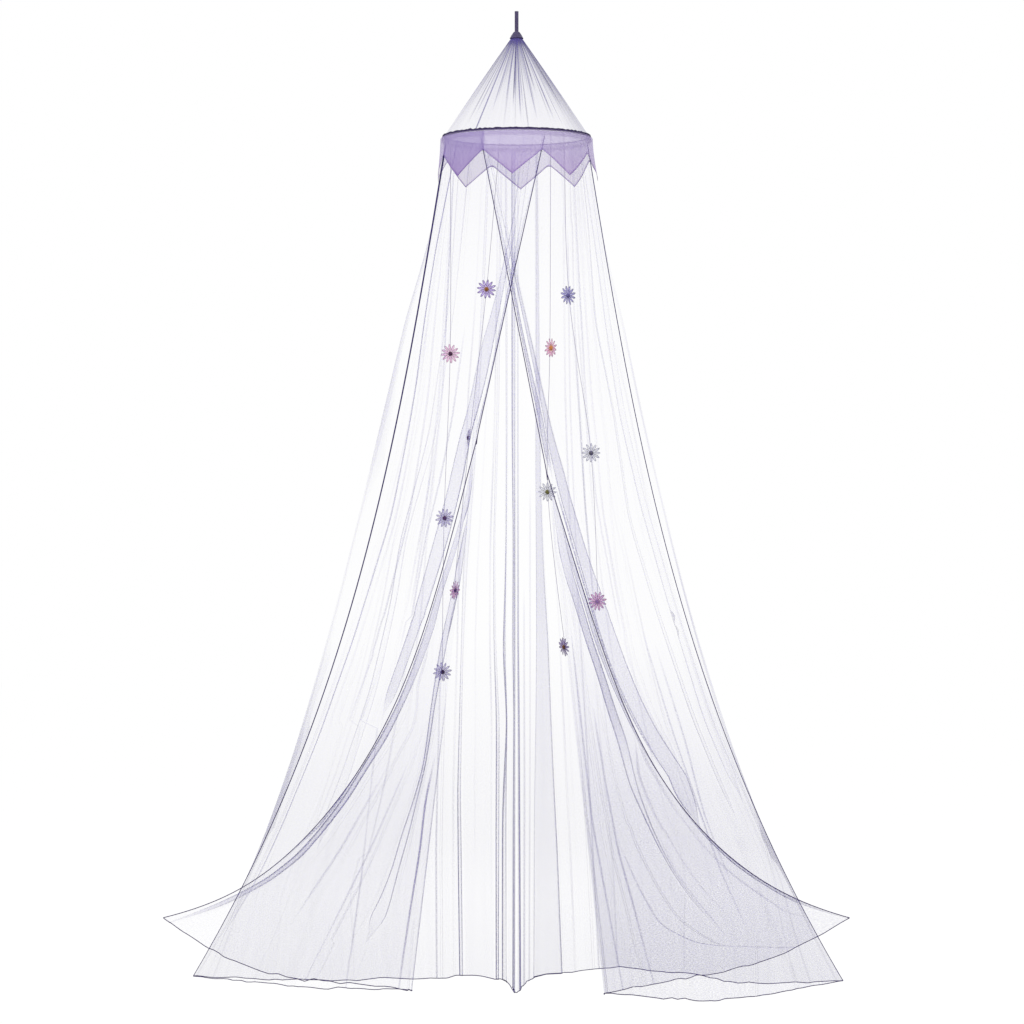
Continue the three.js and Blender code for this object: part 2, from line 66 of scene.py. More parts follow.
# %% Camera
PIXELS = 1024
FOCAL_PIXELS = 3154
AXIS_PIXEL = 516.6
VIEW_DISTANCE = 8.3
VIEW_HEIGHT = -1.316
SENSOR = 36.0

camera_data = bpy.data.cameras.new("photo_camera")
camera_data.sensor_width = SENSOR
camera_data.lens = FOCAL_PIXELS * SENSOR / PIXELS
camera_data.clip_end = 60
camera = bpy.data.objects.new("photo_camera", camera_data)
camera_x = -(AXIS_PIXEL - PIXELS / 2) * VIEW_DISTANCE / FOCAL_PIXELS
camera.location = (camera_x, -VIEW_DISTANCE, VIEW_HEIGHT)
camera.rotation_euler = (math.pi / 2, 0, 0)
bpy.context.scene.collection.objects.link(camera)
bpy.context.scene.camera = camera


def pixels_of(places):
    """Where points of shape (..., 3) are seen in the photograph's 1024 x 1024 frame."""
    scale = FOCAL_PIXELS / (VIEW_DISTANCE + places[..., 1])
    across = PIXELS / 2 + scale * (places[..., 0] - camera_x)
    down = PIXELS / 2 - scale * (places[..., 2] - VIEW_HEIGHT)
    return across, down


print("camera lens", round(camera_data.lens, 1), "mm")

# %% [markdown]
# ## Threads
# Four fine threads hang inside the front of the hoop, and three daisies are strung on each. A thread is
# a limp cord of fixed length, so it is settled before anything else. It could be simulated, but it
# hangs under the weight of its flowers in an almost straight line, and a smooth curve through the knots
# gives just that. The points below are the route of the model, in metres: the top knot, and the three
# flowers.

# %% Routes of the threads
HOOP_RADIUS = 0.191
HOOP_Z = -0.338
HANG_RADIUS = 0.1801
THREAD = 0.001
THREAD_TAIL = 0.024
PLACES = {
    "garland_a": [(-0.174, -0.042, -0.902), (-0.190, -0.036, -1.332), (-0.195, -0.032, -1.735)],
    "garland_b": [(-0.078, -0.132, -0.739), (-0.122, -0.116, -1.124), (-0.163, -0.098, -1.519)],
    "garland_c": [(0.086, -0.130, -0.891), (0.081, -0.115, -1.264), (0.126, -0.088, -1.667)],
    "garland_d": [(0.136, -0.103, -0.753), (0.194, -0.074, -1.162), (0.212, -0.068, -1.549)],
}
HANG_X = {"garland_a": -0.173, "garland_b": -0.042, "garland_c": 0.088, "garland_d": 0.122}


def smooth_curve(points, shares):
    """A centripetal Catmull-Rom curve through the points, at shares from 0 to 1 of its spans."""
    points = np.array(points, float)
    points = np.vstack([2 * points[0] - points[1], points, 2 * points[-1] - points[-2]])
    spans = len(points) - 3
    position = np.clip(np.asarray(shares, float), 0, 1) * spans
    first = np.minimum(position.astype(int), spans - 1)
    t = (position - first)[..., None]
    p0, p1, p2, p3 = (points[first + k] for k in range(4))
    d0, d1, d2 = (
        np.maximum(np.linalg.norm(b - a, axis=-1, keepdims=True), 1e-9) ** 0.5
        for a, b in ((p0, p1), (p1, p2), (p2, p3))
    )
    t1 = ((p1 - p0) / d0 - (p2 - p0) / (d0 + d1) + (p2 - p1) / d1) * d1
    t2 = ((p2 - p1) / d1 - (p3 - p1) / (d1 + d2) + (p3 - p2) / d2) * d1
    return p1 + t1 * t + (3 * (p2 - p1) - 2 * t1 - t2) * t**2 + (2 * (p1 - p2) + t1 + t2) * t**3


def thread_route(name):
    """The thread's stations: top knot, three flowers and the loose tail."""
    x = HANG_X[name]
    top = np.array([x, -math.sqrt(HANG_RADIUS**2 - x**2), HOOP_Z])
    places = np.array(PLACES[name])
    last = places[-1] - places[-2]
    tail = places[-1] + last / np.linalg.norm(last) * THREAD_TAIL
    return np.vstack([top, places, tail])


THREAD_POINTS = 37
routes = {name: smooth_curve(thread_route(name), np.linspace(0, 1, THREAD_POINTS)) for name in PLACES}
lengths = {
    name: float(np.linalg.norm(np.diff(route, axis=0), axis=1).sum()) for name, route in routes.items()
}
print("thread lengths", {name: round(length, 3) for name, length in lengths.items()})


# %% Helpers to select, edit and finish a piece
def deselect():
    if bpy.context.object and bpy.context.object.mode != "OBJECT":
        bpy.ops.object.mode_set(mode="OBJECT")
    bpy.ops.object.select_all(action="DESELECT")


def select_only(*pieces):
    """Select just these pieces, the first of them as the active one."""
    deselect()
    for piece in pieces:
        piece.select_set(True)
    bpy.context.view_layer.objects.active = pieces[0]


def edit(piece, everything=True):
    """Go into edit mode on one piece, with its whole mesh selected or with the selection that it has."""
    select_only(piece)
    bpy.ops.object.mode_set(mode="EDIT")
    if everything:
        bpy.ops.mesh.select_all(action="SELECT")


def join(pieces):
    """Join the pieces into the first one."""
    select_only(*pieces)
    bpy.ops.object.join()
    return pieces[0]


def apply_modifier(piece, kind, **settings):
    """Add a modifier, set it and apply it."""
    select_only(piece)
    modifier = piece.modifiers.new(kind.lower(), kind)
    for key, value in settings.items():
        setattr(modifier, key, value)
    bpy.ops.object.modifier_apply(modifier=modifier.name)


def vertex_places(mesh):
    """The places of a mesh's vertices, one row each."""
    places = np.empty(len(mesh.vertices) * 3)
    mesh.vertices.foreach_get("co", places)
    return places.reshape(-1, 3)


def run_along(points):
    """The distance run along a line of points, from 0 at the first."""
    return np.concatenate([[0], np.cumsum(np.linalg.norm(np.diff(points, axis=0), axis=-1))])


# %% Threads as curves
def make_line(name, points, radii, sides=2):
    """A round line through the points, with a radius that runs from the first one given to the last."""
    data = bpy.data.curves.new(name, "CURVE")
    data.dimensions = "3D"
    data.bevel_depth = radii[0]
    data.bevel_resolution = sides
    data.use_fill_caps = True
    spline = data.splines.new("POLY")
    spline.points.add(len(points) - 1)
    spline.points.foreach_set("co", np.hstack([points, np.ones((len(points), 1))]).ravel())
    spline.points.foreach_set("radius", np.linspace(1, radii[-1] / radii[0], len(points)))
    line = bpy.data.objects.new(name, data)
    bpy.context.scene.collection.objects.link(line)
    return line


threads = {
    name: make_line("thread_" + name[-1], route, [THREAD / 2]) for name, route in routes.items()
}
print("threads", sorted(t.name for t in threads.values()))

# %% [markdown]
# ## Floor, backdrop and light
# The photograph has a plain white ground. A lamp bright enough to burn the floor white would also wash
# out the sheer net, so the world and the floor are white only for the camera, and for glossy and
# transmitted rays, and the lamps stay at a plain level. The floor still takes the canopy's soft shadow.

# %% Floor and backdrop
FLOOR_Z = -2.66
FLOOR_SIZE = 24
FLOOR_GREY = 0.12
FLOOR_WHITE = 0.91


def node_adder(tree):
    """A helper that adds a node to the tree and sets its properties."""
    def add(kind, **settings):
        node = tree.nodes.new(kind)
        for key, value in settings.items():
            setattr(node, key, value)
        return node

    return add


def node_material(name):
    """A new material with an empty node tree, and the tree's adder."""
    material = bpy.data.materials.new(name)
    material.use_nodes = True
    tree = material.node_tree
    tree.nodes.clear()
    return material, tree, node_adder(tree)


def set_surface(tree, shader):
    """Give a material's tree its output, with the shader as its surface."""
    output = node_adder(tree)("ShaderNodeOutputMaterial")
    tree.links.new(shader.outputs[0], output.inputs["Surface"])


def seen_directly(tree):
    """1 for camera, glossy and transmission rays, 0 for the rays that light things."""
    add = node_adder(tree)
    path = add("ShaderNodeLightPath")
    total = path.outputs["Is Camera Ray"]
    for kind in ("Is Glossy Ray", "Is Transmission Ray"):
        larger = add("ShaderNodeMath", operation="MAXIMUM")
        tree.links.new(total, larger.inputs[0])
        tree.links.new(path.outputs[kind], larger.inputs[1])
        total = larger.outputs[0]
    return total


def floor_material():
    """Paint that is white to the camera and dark grey to the rays that light the net."""
    material, tree, add = node_material("floor_paint")
    paint = add("ShaderNodeBsdfDiffuse")
    paint.inputs["Color"].default_value = (*[FLOOR_GREY] * 3, 1)
    glow = add("ShaderNodeEmission")
    glow.inputs["Color"].default_value = (*[FLOOR_WHITE] * 3, 1)
    tree.links.new(seen_directly(tree), glow.inputs["Strength"])
    both = add("ShaderNodeAddShader")
    tree.links.new(paint.outputs[0], both.inputs[0])
    tree.links.new(glow.outputs[0], both.inputs[1])
    set_surface(tree, both)
    return material


deselect()
bpy.ops.mesh.primitive_plane_add(size=FLOOR_SIZE, location=(0, FLOOR_SIZE / 6, FLOOR_Z))
floor = bpy.context.object
floor.name = "studio_floor"
bpy.ops.object.transform_apply(location=True)
floor.data.materials.append(floor_material())
print("floor at", FLOOR_Z)

# %% World and lamps
SKY_LIGHT = 0.75
SKY_SEEN = 1.0
SHEER_LAYERS = 96

world = bpy.data.worlds.new("studio_world")
bpy.context.scene.world = world
world.use_nodes = True
sky = world.node_tree
sky.nodes.clear()
sky_add = node_adder(sky)
sky_output = sky_add("ShaderNodeOutputWorld")
sky_mix = sky_add("ShaderNodeMixShader")
for slot_index, strength in ((1, SKY_LIGHT), (2, SKY_SEEN)):
    background = sky_add("ShaderNodeBackground")
    background.inputs["Color"].default_value = (1, 1, 1, 1)
    background.inputs["Strength"].default_value = strength
    sky.links.new(background.outputs[0], sky_mix.inputs[slot_index])
sky.links.new(seen_directly(sky), sky_mix.inputs[0])
sky.links.new(sky_mix.outputs[0], sky_output.inputs["Surface"])

LAMPS = {
    "key_lamp": {"place": (-2.6, -3.2, 0.9), "aim": (0, 0, -1.2), "size": 2.4, "power": 62},
    "fill_lamp": {"place": (3.0, -2.4, -0.6), "aim": (0, 0, -1.3), "size": 2.4, "power": 30},
    "back_lamp": {"place": (0.6, 3.2, 0.4), "aim": (0, 0, -1.2), "size": 2.6, "power": 40},
}
for name, lamp in LAMPS.items():
    data = bpy.data.lights.new(name, "AREA")
    data.size = lamp["size"]
    data.energy = lamp["power"]
    light = bpy.data.objects.new(name, data)
    light.location = lamp["place"]
    direction = Vector(lamp["aim"]) - Vector(lamp["place"])
    light.rotation_euler = direction.to_track_quat("-Z", "Y").to_euler()
    bpy.context.scene.collection.objects.link(light)
bpy.context.scene.view_settings.view_transform = "Standard"
bpy.context.scene.cycles.transparent_max_bounces = SHEER_LAYERS
print("lamps", sorted(LAMPS))

# %% [markdown]
# ## The net's finish
# Where many layers lie together, the tone is also painted darker, as shade in the folds.
# The net is so fine that single threads don't show from across a room: what shows is a faint lilac
# veil, which darkens where the cloth is folded, gathered or seen edge on. It could be an image of a
# mesh with holes, but holes a millimetre wide only shimmer at this distance. So the veil has a small
# even opacity, and every point of the mesh carries a number, "gathers", for how many layers' worth of
# net is drawn together there. With an opacity a for one layer, n layers cover 1 - (1 - a) ** n.
# Stretched noise along the cloth's own length gives the fine drawn wrinkles, and a small weave in the
# "cut" coordinates gives the grain.

# %% Net material
NOISE_LOW, NOISE_HIGH = 0.3, 0.7
WRINKLE_SCALE = (75, 1.6)
GRAIN_SCALE = (420, 420)
DEEP_FOLD_LAYERS = 6.0


def link_math(tree, operation, first, second):
    """A Math node whose two inputs are sockets or numbers; the output socket."""
    node = tree.nodes.new("ShaderNodeMath")
    node.operation = operation
    for socket, value in zip(node.inputs, (first, second)):
        if isinstance(value, (int, float)):
            socket.default_value = value
        else:
            tree.links.new(value, socket)
    return node.outputs[0]


def scaled_cut(tree, across, along):
    """The cloth's flat position in metres, scaled apart across and along it."""
    add = node_adder(tree)
    cut = add("ShaderNodeAttribute", attribute_name="cut")
    scale = add("ShaderNodeMapping")
    scale.inputs["Scale"].default_value = (across, along, 1)
    tree.links.new(cut.outputs["Vector"], scale.inputs["Vector"])
    return scale.outputs[0]


def tint(tree, factor, first, second, blend="MIX"):
    """A colour mix of two sockets or colours; the output socket."""
    mix = node_adder(tree)("ShaderNodeMix", data_type="RGBA", blend_type=blend)
    for key, value in (("Factor", factor), ("A", first), ("B", second)):
        if isinstance(value, (int, float, tuple)):
            mix.inputs[key].default_value = value
        else:
            tree.links.new(value, mix.inputs[key])
    return mix.outputs["Result"]


def plain_noise(tree, vector, scale, detail):
    """Noise on a vector; the output socket."""
    noise = node_adder(tree)("ShaderNodeTexNoise")
    noise.inputs["Scale"].default_value = scale
    noise.inputs["Detail"].default_value = detail
    tree.links.new(vector, noise.inputs["Vector"])
    return noise.outputs["Fac"]


def noise_factor(tree, vector, detail, low, high):
    """Noise on a vector, stretched from low to high."""
    add = node_adder(tree)
    spread = add("ShaderNodeMapRange")
    spread.inputs["From Min"].default_value = NOISE_LOW
    spread.inputs["From Max"].default_value = NOISE_HIGH
    spread.inputs["To Min"].default_value = low
    spread.inputs["To Max"].default_value = high
    tree.links.new(plain_noise(tree, vector, 1.0, detail), spread.inputs["Value"])
    return spread.outputs[0]


def own_place(tree):
    """A point's place in the piece's own coordinates; the output socket."""
    return node_adder(tree)("ShaderNodeTexCoord").outputs["Object"]


def bump_from(tree, height, strength, distance, invert=False):
    """A bump from a height; the output socket for a shader's normal."""
    bump = node_adder(tree)("ShaderNodeBump", invert=invert)
    bump.inputs["Strength"].default_value = strength
    bump.inputs["Distance"].default_value = distance
    tree.links.new(height, bump.inputs["Height"])
    return bump.outputs[0]


def finish_surface(tree, settings, tone, opacity=None, normal=None):
    """The Principled shader of a material: its settings by name, and sockets for what varies."""
    shader = node_adder(tree)("ShaderNodeBsdfPrincipled")
    for key, value in settings.items():
        shader.inputs[key].default_value = value
    for key, socket in (("Base Color", tone), ("Alpha", opacity), ("Normal", normal)):
        if socket is not None:
            tree.links.new(socket, shader.inputs[key])
    set_surface(tree, shader)


def veil_material(name, colours, heights, fold_shade_colour, one_layer, wrinkles, grain):
    """Sheer cloth: opacity from the gathers, a tone that changes down the cloth, and painted shade in its
    folds.
    """
    material, tree, add = node_material(name)
    gathers = add("ShaderNodeAttribute", attribute_name="gathers")
    streaks = noise_factor(tree, scaled_cut(tree, *WRINKLE_SCALE), 3, 1 - wrinkles, 1 + wrinkles)
    weave = noise_factor(tree, scaled_cut(tree, *GRAIN_SCALE), 1, 1 - grain, 1 + grain)
    layers = link_math(tree, "MULTIPLY", gathers.outputs["Fac"], streaks)
    layers = link_math(tree, "MULTIPLY", layers, weave)
    opacity = link_math(tree, "SUBTRACT", 1.0, link_math(tree, "POWER", 1 - one_layer, layers))
    split = add("ShaderNodeSeparateXYZ")
    tree.links.new(own_place(tree), split.inputs[0])
    down = add("ShaderNodeMapRange")
    down.inputs["From Min"].default_value, down.inputs["From Max"].default_value = heights
    tree.links.new(split.outputs["Z"], down.inputs["Value"])
    depth = add("ShaderNodeMapRange")
    depth.inputs["From Min"].default_value = 1.0
    depth.inputs["From Max"].default_value = DEEP_FOLD_LAYERS
    tree.links.new(layers, depth.inputs["Value"])
    tone = tint(tree, down.outputs[0], (*colours[0], 1), (*colours[1], 1))
    # Painted shade: the tone is painted darker where many layers lie together, in folds, gathers and seams.
    tone = tint(tree, depth.outputs[0], tone, (*fold_shade_colour, 1))
    settings = {"Roughness": 0.85, "Specular IOR Level": 0.15, "Sheen Weight": 0.08}
    finish_surface(tree, settings, tone, opacity)
    return material


net_material = veil_material(
    "skirt_net", colours=[(0.15, 0.10, 0.64), (0.14, 0.11, 0.46)], heights=(-1.6, -2.4),
    fold_shade_colour=(0.09, 0.06, 0.40), one_layer=0.05, wrinkles=0.15, grain=0.85)
print("net material", net_material.name)


# %% Thread and edging materials
def yarn_material(name, colour, twist=900):
    """Matt twisted yarn: the colour varies a little along it, with a bump for the twist."""
    material, tree, add = node_material(name)
    fibres = plain_noise(tree, own_place(tree), twist, 2)
    shades = add("ShaderNodeValToRGB")
    for element, position, share in zip(shades.color_ramp.elements, (NOISE_LOW, NOISE_HIGH), (0.7, 1.3)):
        element.position = position
        element.color = (*[c * share for c in colour], 1)
    tree.links.new(fibres, shades.inputs["Fac"])
    normal = bump_from(tree, fibres, 0.4, 0.0004)
    settings = {"Roughness": 0.8, "Specular IOR Level": 0.2}
    finish_surface(tree, settings, shades.outputs["Color"], normal=normal)
    return material


edging_material = yarn_material("net_edging", (0.08, 0.06, 0.17))
seam_material = yarn_material("seam_thread", (0.055, 0.04, 0.16))
thread_material = yarn_material("garland_thread", (0.30, 0.27, 0.42), twist=1200)

for name, thread in threads.items():
    thread.data.materials.append(thread_material)
    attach(thread, name)
    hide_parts(name)
print("thread finish", thread_material.name)

# %% [markdown]
# ## The skirt's surfaces
# The skirt is four breadths of net, gathered on to the hoop and flared to the hem. Each is one smooth
# surface: an arc of the hoop at its top, a hem curve at its foot, and a bell-shaped fall between them.
# It could be dropped over the hoop by a cloth simulation, but the real net was combed into place by
# hand, so the surface is built from the sizes that the model has and its folds are laid where the
# photograph shows them. Three things are not the model's but read from the photograph: where the
# front's free edges start on the hoop, the bulge of the back breadths beside the seams, and the last
# few millimetres of the wings' free edges.

# %% Sizes of the skirt
NET_TOP_RADIUS = 0.188
NET_TOP_Z = -0.3478
HEM_DEPTH = 2.562
BACK_HEM_DEPTH = 2.590
SIDE_HALF_WIDTH = 0.868
SIDE_Y = 0.170
BACK_Y = 0.310
SEAM_GAP = 0.0015
SEAM_ANGLE = math.radians(95)
BELL = 0.47
LAP = 0.004
CREASE_CLEARANCE = 0.00095
CREASE_CURL = 0.013
FOLD_TOP = {"left": np.array([-0.100, -0.166, -1.117]), "right": np.array([0.0755, -0.156, -1.208])}
FOLD_FOOT = {"left": np.array([-0.273, -0.082, -2.562]), "right": np.array([0.226, -0.133, -2.562])}
SIDE_HEM = {
    "left": (-SIDE_HALF_WIDTH, SIDE_Y, -HEM_DEPTH),
    "right": (SIDE_HALF_WIDTH, SIDE_Y / 2, -HEM_DEPTH),
}
HEM_MIDDLE = {"left": (-0.560, -0.015, -2.562), "right": (0.520, -0.128, -2.580)}
CORNER = {"left": np.array([-0.925, -0.030, -2.378]), "right": np.array([0.859, -0.150, -2.363])}
WING_SAG = {"left": 0.063, "right": 0.042}
EDGE_TERMS = {"left": [(1, 0.26), (4, 0.56), (25, 0.18)], "right": [(1, 0.35), (5, 0.52), (25, 0.13)]}
EDGE_ANGLE = {"left": math.radians(22), "right": math.radians(-30.4)}
OUTWARD = {"left": -1, "right": 1}


def lerp(a, b, share):
    return a + (b - a) * share


def smoothstep(low, high, value):
    share = np.clip((np.asarray(value, float) - low) / (high - low), 0, 1)
    return share * share * (3 - 2 * share)


def round_axis(radius, angle, z):
    """Points round the hanging axis, at angles from the front."""
    return np.stack(np.broadcast_arrays(radius * np.sin(angle), -radius * np.cos(angle), z), -1)


def behind_axis(angle):
    """0 at the front of a ring and 1 at its back."""
    return smoothstep(-0.2, 0.2, -np.cos(angle))


# %% Surface of a breadth
BULGE_PEAK = 0.05


def breadth_surface(from_angle, to_angle, hem, waves, depth, lean, lap=0.0, edge=None, bulge=0.0):
    """The hung surface of a breadth: u runs across it and v down it, both from 0 to 1."""
    def surface(u, v):
        u, v = np.broadcast_arrays(np.asarray(u, float), np.asarray(v, float))
        angle = lerp(from_angle, to_angle, u)
        top = round_axis(NET_TOP_RADIUS + lap * smoothstep(0.4, 0.65, u), angle, NET_TOP_Z)
        foot = smooth_curve(hem, u)
        flare = BELL * (1 - u)
        share = (1 - flare) * v + flare * v**3
        place = np.stack([
            lerp(top[..., 0], foot[..., 0], share),
            lerp(top[..., 1], foot[..., 1], share),
            lerp(top[..., 2], foot[..., 2], v),
        ], -1)
        if edge:
            end_top = round_axis(NET_TOP_RADIUS + lap, to_angle, NET_TOP_Z)
            plain = lerp(end_top, np.array(hem[-1]), v[..., None])
            place = place + (edge(v, end_top) - plain) * (u**2)[..., None]
        out = np.stack([foot[..., 0] * lean[0], foot[..., 1] * lean[1], np.zeros_like(u)], -1)
        out = out / np.maximum(np.linalg.norm(out, axis=-1, keepdims=True), 1e-9)
        fade = np.clip(np.sin(np.pi * np.clip(u, 0, 1)), 0, 1) ** 0.7
        wave = depth * v**1.2 * fade * np.sin(2 * np.pi * waves * u)
        place = place + out * wave[..., None]
        near_side = u / BULGE_PEAK * np.exp(1 - u / BULGE_PEAK)
        place[..., 0] += bulge * np.sin(np.pi * v) * near_side * smoothstep(0.04, 0.22, v)
        return place

    return surface


def front_edge(side):
    """The end of a front breadth: its free edge down to the fold, then a line a hair short of the crease."""
    away = np.array([OUTWARD[side] * CREASE_CLEARANCE, 0, 0])

    def edge(v, end_top):
        top, foot = FOLD_TOP[side], FOLD_FOOT[side]
        turn = (top[2] - end_top[2]) / (foot[2] - end_top[2])
        above = lerp(end_top, top + away, np.clip(v / turn, 0, 1)[..., None])
        below = lerp(top, foot, np.clip((v - turn) / (1 - turn), 0, 1)[..., None]) + away
        return np.where((v <= turn)[..., None], above, below)

    return edge


back_gap = np.array([0, SEAM_GAP, 0])
back_lean = (0.35, 1)
front_lean = (0, 1)
surfaces = {
    "back_left": breadth_surface(
        -SEAM_ANGLE, -math.pi,
        [np.array(SIDE_HEM["left"]) + back_gap, (-0.7 * SIDE_HALF_WIDTH, 0.93 * BACK_Y, -BACK_HEM_DEPTH),
         (-0.36 * SIDE_HALF_WIDTH, BACK_Y, -BACK_HEM_DEPTH), (-0.045, BACK_Y, -BACK_HEM_DEPTH),
         (-SEAM_GAP / 2, BACK_Y - 0.055, -BACK_HEM_DEPTH - 0.030)],
        waves=5, depth=0.020, lean=back_lean, bulge=-0.055),
    "back_right": breadth_surface(
        SEAM_ANGLE, math.pi,
        [np.array(SIDE_HEM["right"]) + back_gap, (0.7 * SIDE_HALF_WIDTH, 0.8 * BACK_Y, -BACK_HEM_DEPTH),
         (0.36 * SIDE_HALF_WIDTH, BACK_Y, -BACK_HEM_DEPTH + 0.030), (0.045, BACK_Y, -BACK_HEM_DEPTH),
         (SEAM_GAP / 2, BACK_Y - 0.055, -BACK_HEM_DEPTH - 0.030)],
        waves=5, depth=-0.020, lean=back_lean, bulge=0.035),
    "front_left": breadth_surface(
        -SEAM_ANGLE, EDGE_ANGLE["left"], [SIDE_HEM["left"], HEM_MIDDLE["left"], FOLD_FOOT["left"]],
        waves=4, depth=0.009, lean=front_lean, lap=LAP, edge=front_edge("left")),
    "front_right": breadth_surface(
        SEAM_ANGLE, EDGE_ANGLE["right"], [SIDE_HEM["right"], HEM_MIDDLE["right"], FOLD_FOOT["right"]],
        waves=4, depth=0.009, lean=front_lean, lap=-LAP, edge=front_edge("right")),
}
for name, surface in surfaces.items():
    ends = [[round(float(c)) for c in pixels_of(surface(share, 1.0))] for share in (0.0, 1.0)]
    print("breadth", name, "hem from", ends[0], "to", ends[1])


# %% Surface of a wing
BEND_SHARE = 1 / 6


def wing_surface(side):
    """The folded-back part of a front: u runs from the crease to the free edge, v down the crease."""
    top, foot, corner = FOLD_TOP[side], FOLD_FOOT[side], CORNER[side]

    def crease_at(z):
        return lerp(top, foot, ((z - top[2]) / (foot[2] - top[2]))[..., None])

    def surface(u, v):
        u, v = np.broadcast_arrays(np.asarray(u, float), np.asarray(v, float))
        start = lerp(top, foot, v[..., None])
        edge = crease_at(lerp(top[2], corner[2], v))
        corner_crease = crease_at(np.full(1, corner[2]))[0]
        width = sum(share * v**power for power, share in EDGE_TERMS[side])
        edge[..., 0] += width * (corner[0] - corner_crease[0])
        edge[..., 1] += width * (corner[1] - corner_crease[1])
        reach = np.abs(edge[..., 0] - start[..., 0])
        curl = np.minimum(CREASE_CURL, reach / 3)
        bend = np.minimum(u / BEND_SHARE, 1) * np.pi / 2
        forward = CREASE_CLEARANCE + curl * np.sin(bend)
        past_bend = np.maximum(u - BEND_SHARE, 0) / (1 - BEND_SHARE)
        sideways = curl * (1 - np.cos(bend)) + past_bend * (reach - curl)
        along = np.where(reach > 0, sideways / np.maximum(reach, 1e-9), 0)
        place = lerp(start, edge, along[..., None])
        place[..., 0] = start[..., 0] + OUTWARD[side] * sideways
        place[..., 1] -= forward
        place[..., 2] -= WING_SAG[side] * v**3 * np.sin(np.pi * np.clip(along, 0, 1) ** 1.4)
        return place

    return surface


surfaces["wing_left"] = wing_surface("left")
surfaces["wing_right"] = wing_surface("right")
for side in ("left", "right"):
    corner_px = pixels_of(surfaces["wing_" + side](1.0, 1.0))
    print("wing", side, "corner at", [round(float(c)) for c in corner_px])

# %% [markdown]
# ## Folds laid into a cloth
# A fold in hanging net is a flat Z: the cloth runs on, turns back and runs on again, so it lies in
# three layers, and at its two turns the net is seen edge on as a thin dark line. The two lines below
# are those turns, read off the photograph as (x, y, layers): a pixel, and how many more layers of net
# show along the turn there. The surface is searched, row by row, for the point that is seen on each
# line. Nineteen columns then make the Z, six to each layer and closest together at the turns, and where
# a fold fades out they ease into a straight run of cloth. A crease is a single sharp ridge: five
# columns with more layers at the middle one. Between the folds come faint creases at seeded random
# places, for the wrinkles that every breadth has.

# %% Find a photograph line on a surface
LINE_REACH = 60
HOOP_PIXEL = 205
HEM_PIXEL = 940
END_PIXELS = 20
SHARES_ACROSS = 201
NARROWEST_PIXELS = 35


def extended(line):
    """A line of (x, y, layers), sorted downwards and carried straight on past both its ends."""
    line = np.array(sorted(line, key=lambda p: p[1]), float)
    first = line[0] - (line[1] - line[0]) * LINE_REACH / (line[1][1] - line[0][1])
    last = line[-1] + (line[-1] - line[-2]) * LINE_REACH / (line[-1][1] - line[-2][1])
    first[2], last[2] = line[0][2], line[-1][2]
    return np.vstack([first, line, last])


def smoothed(values, passes=6):
    for _ in range(passes):
        inner = (values[:-2] + 2 * values[1:-1] + values[2:]) / 4
        values = np.concatenate([values[:1], inner, values[-1:]])
    return values


def seen_grid(surface, rows):
    """Shares across, and for every row where they are seen and what share one pixel takes there."""
    across = np.linspace(0, 1, SHARES_ACROSS)
    x, y = pixels_of(surface(across[None, :], rows[:, None]))
    per_pixel = 1 / np.maximum(np.abs(np.gradient(x, across, axis=1)), NARROWEST_PIXELS)
    return {"across": across, "x": x, "y": y, "per_pixel": per_pixel}


def at_share(grid, kind, share):
    """A value of the grid at one share in each row."""
    return np.array([np.interp(s, grid["across"], values) for s, values in zip(share, grid[kind])])


def find_line(grid, line):
    """For each row: the share across at which the line is seen, its layers and its presence."""
    top, foot = min(p[1] for p in line), max(p[1] for p in line)
    line = extended(line)
    gap = grid["x"] - np.interp(grid["y"], line[:, 1], line[:, 0])
    crossing = gap[:, :-1] * gap[:, 1:] <= 0
    found = crossing.any(axis=1)
    if not found.any():
        raise ValueError("a line misses its cloth")
    index = crossing.argmax(axis=1)
    row = np.arange(len(gap))
    before, after = gap[row, index], gap[row, index + 1]
    across = grid["across"]
    share = across[index] + across[1] * before / np.where(before == after, 1, before - after)
    share = smoothed(np.interp(row, row[found], share[found]))
    height = at_share(grid, "y", share)
    layers = np.interp(height, line[:, 1], line[:, 2])
    present = np.ones(len(row))
    if top > HOOP_PIXEL:
        present = present * smoothstep(top - END_PIXELS, top + END_PIXELS, height)
    if foot < HEM_PIXEL:
        present = present * (1 - smoothstep(foot - END_PIXELS, foot + END_PIXELS, height))
    return share, layers, present


# %% Lay folds into a cloth
FOLD_DEPTH = 0.004
FULL_DEPTH_WIDTH = 0.02
NARROWEST_FOLD = 0.0006
ABSENT_SHARE = 0.01
PRESENT = 0.02
LINE_GAIN = 3.0
NEAR_TURN = ((0.65, 0.2), (1.3, 0.4))
TURN_ANGLES = np.pi * np.array([-1, -0.97, -0.93, -0.75, -0.57, -0.53, -0.5, -0.47, -0.43, 0,
                                0.43, 0.47, 0.5, 0.53, 0.57, 0.75, 0.93, 0.97, 1])
LINE_PROFILE = np.array([0, 0, 0, 0, 0, 0.6, 1, 0.6, 0, 0, 0, 0.6, 1, 0.6, 0, 0, 0, 0, 0])
FILL_PIXELS = 10
FILL_FADE = 80
CREASE_OFFSETS = np.array([-1.3, -0.65, 0, 0.65, 1.3])
CREASE_PROFILE = np.array([0, 0.6, 1, 0.6, 0])
CREASE_HEIGHT = 0.0016
CREASE_PIXELS = 3.5
STRETCH_COLUMNS = (2, 60)
CLEAR_OF_CREASE = 0.35
GATHERED_MOST = 1.4
NORMAL_STEP = 1e-3
HEM_KNOT_SPACING = 0.02
HEM_KINK = 0.0022


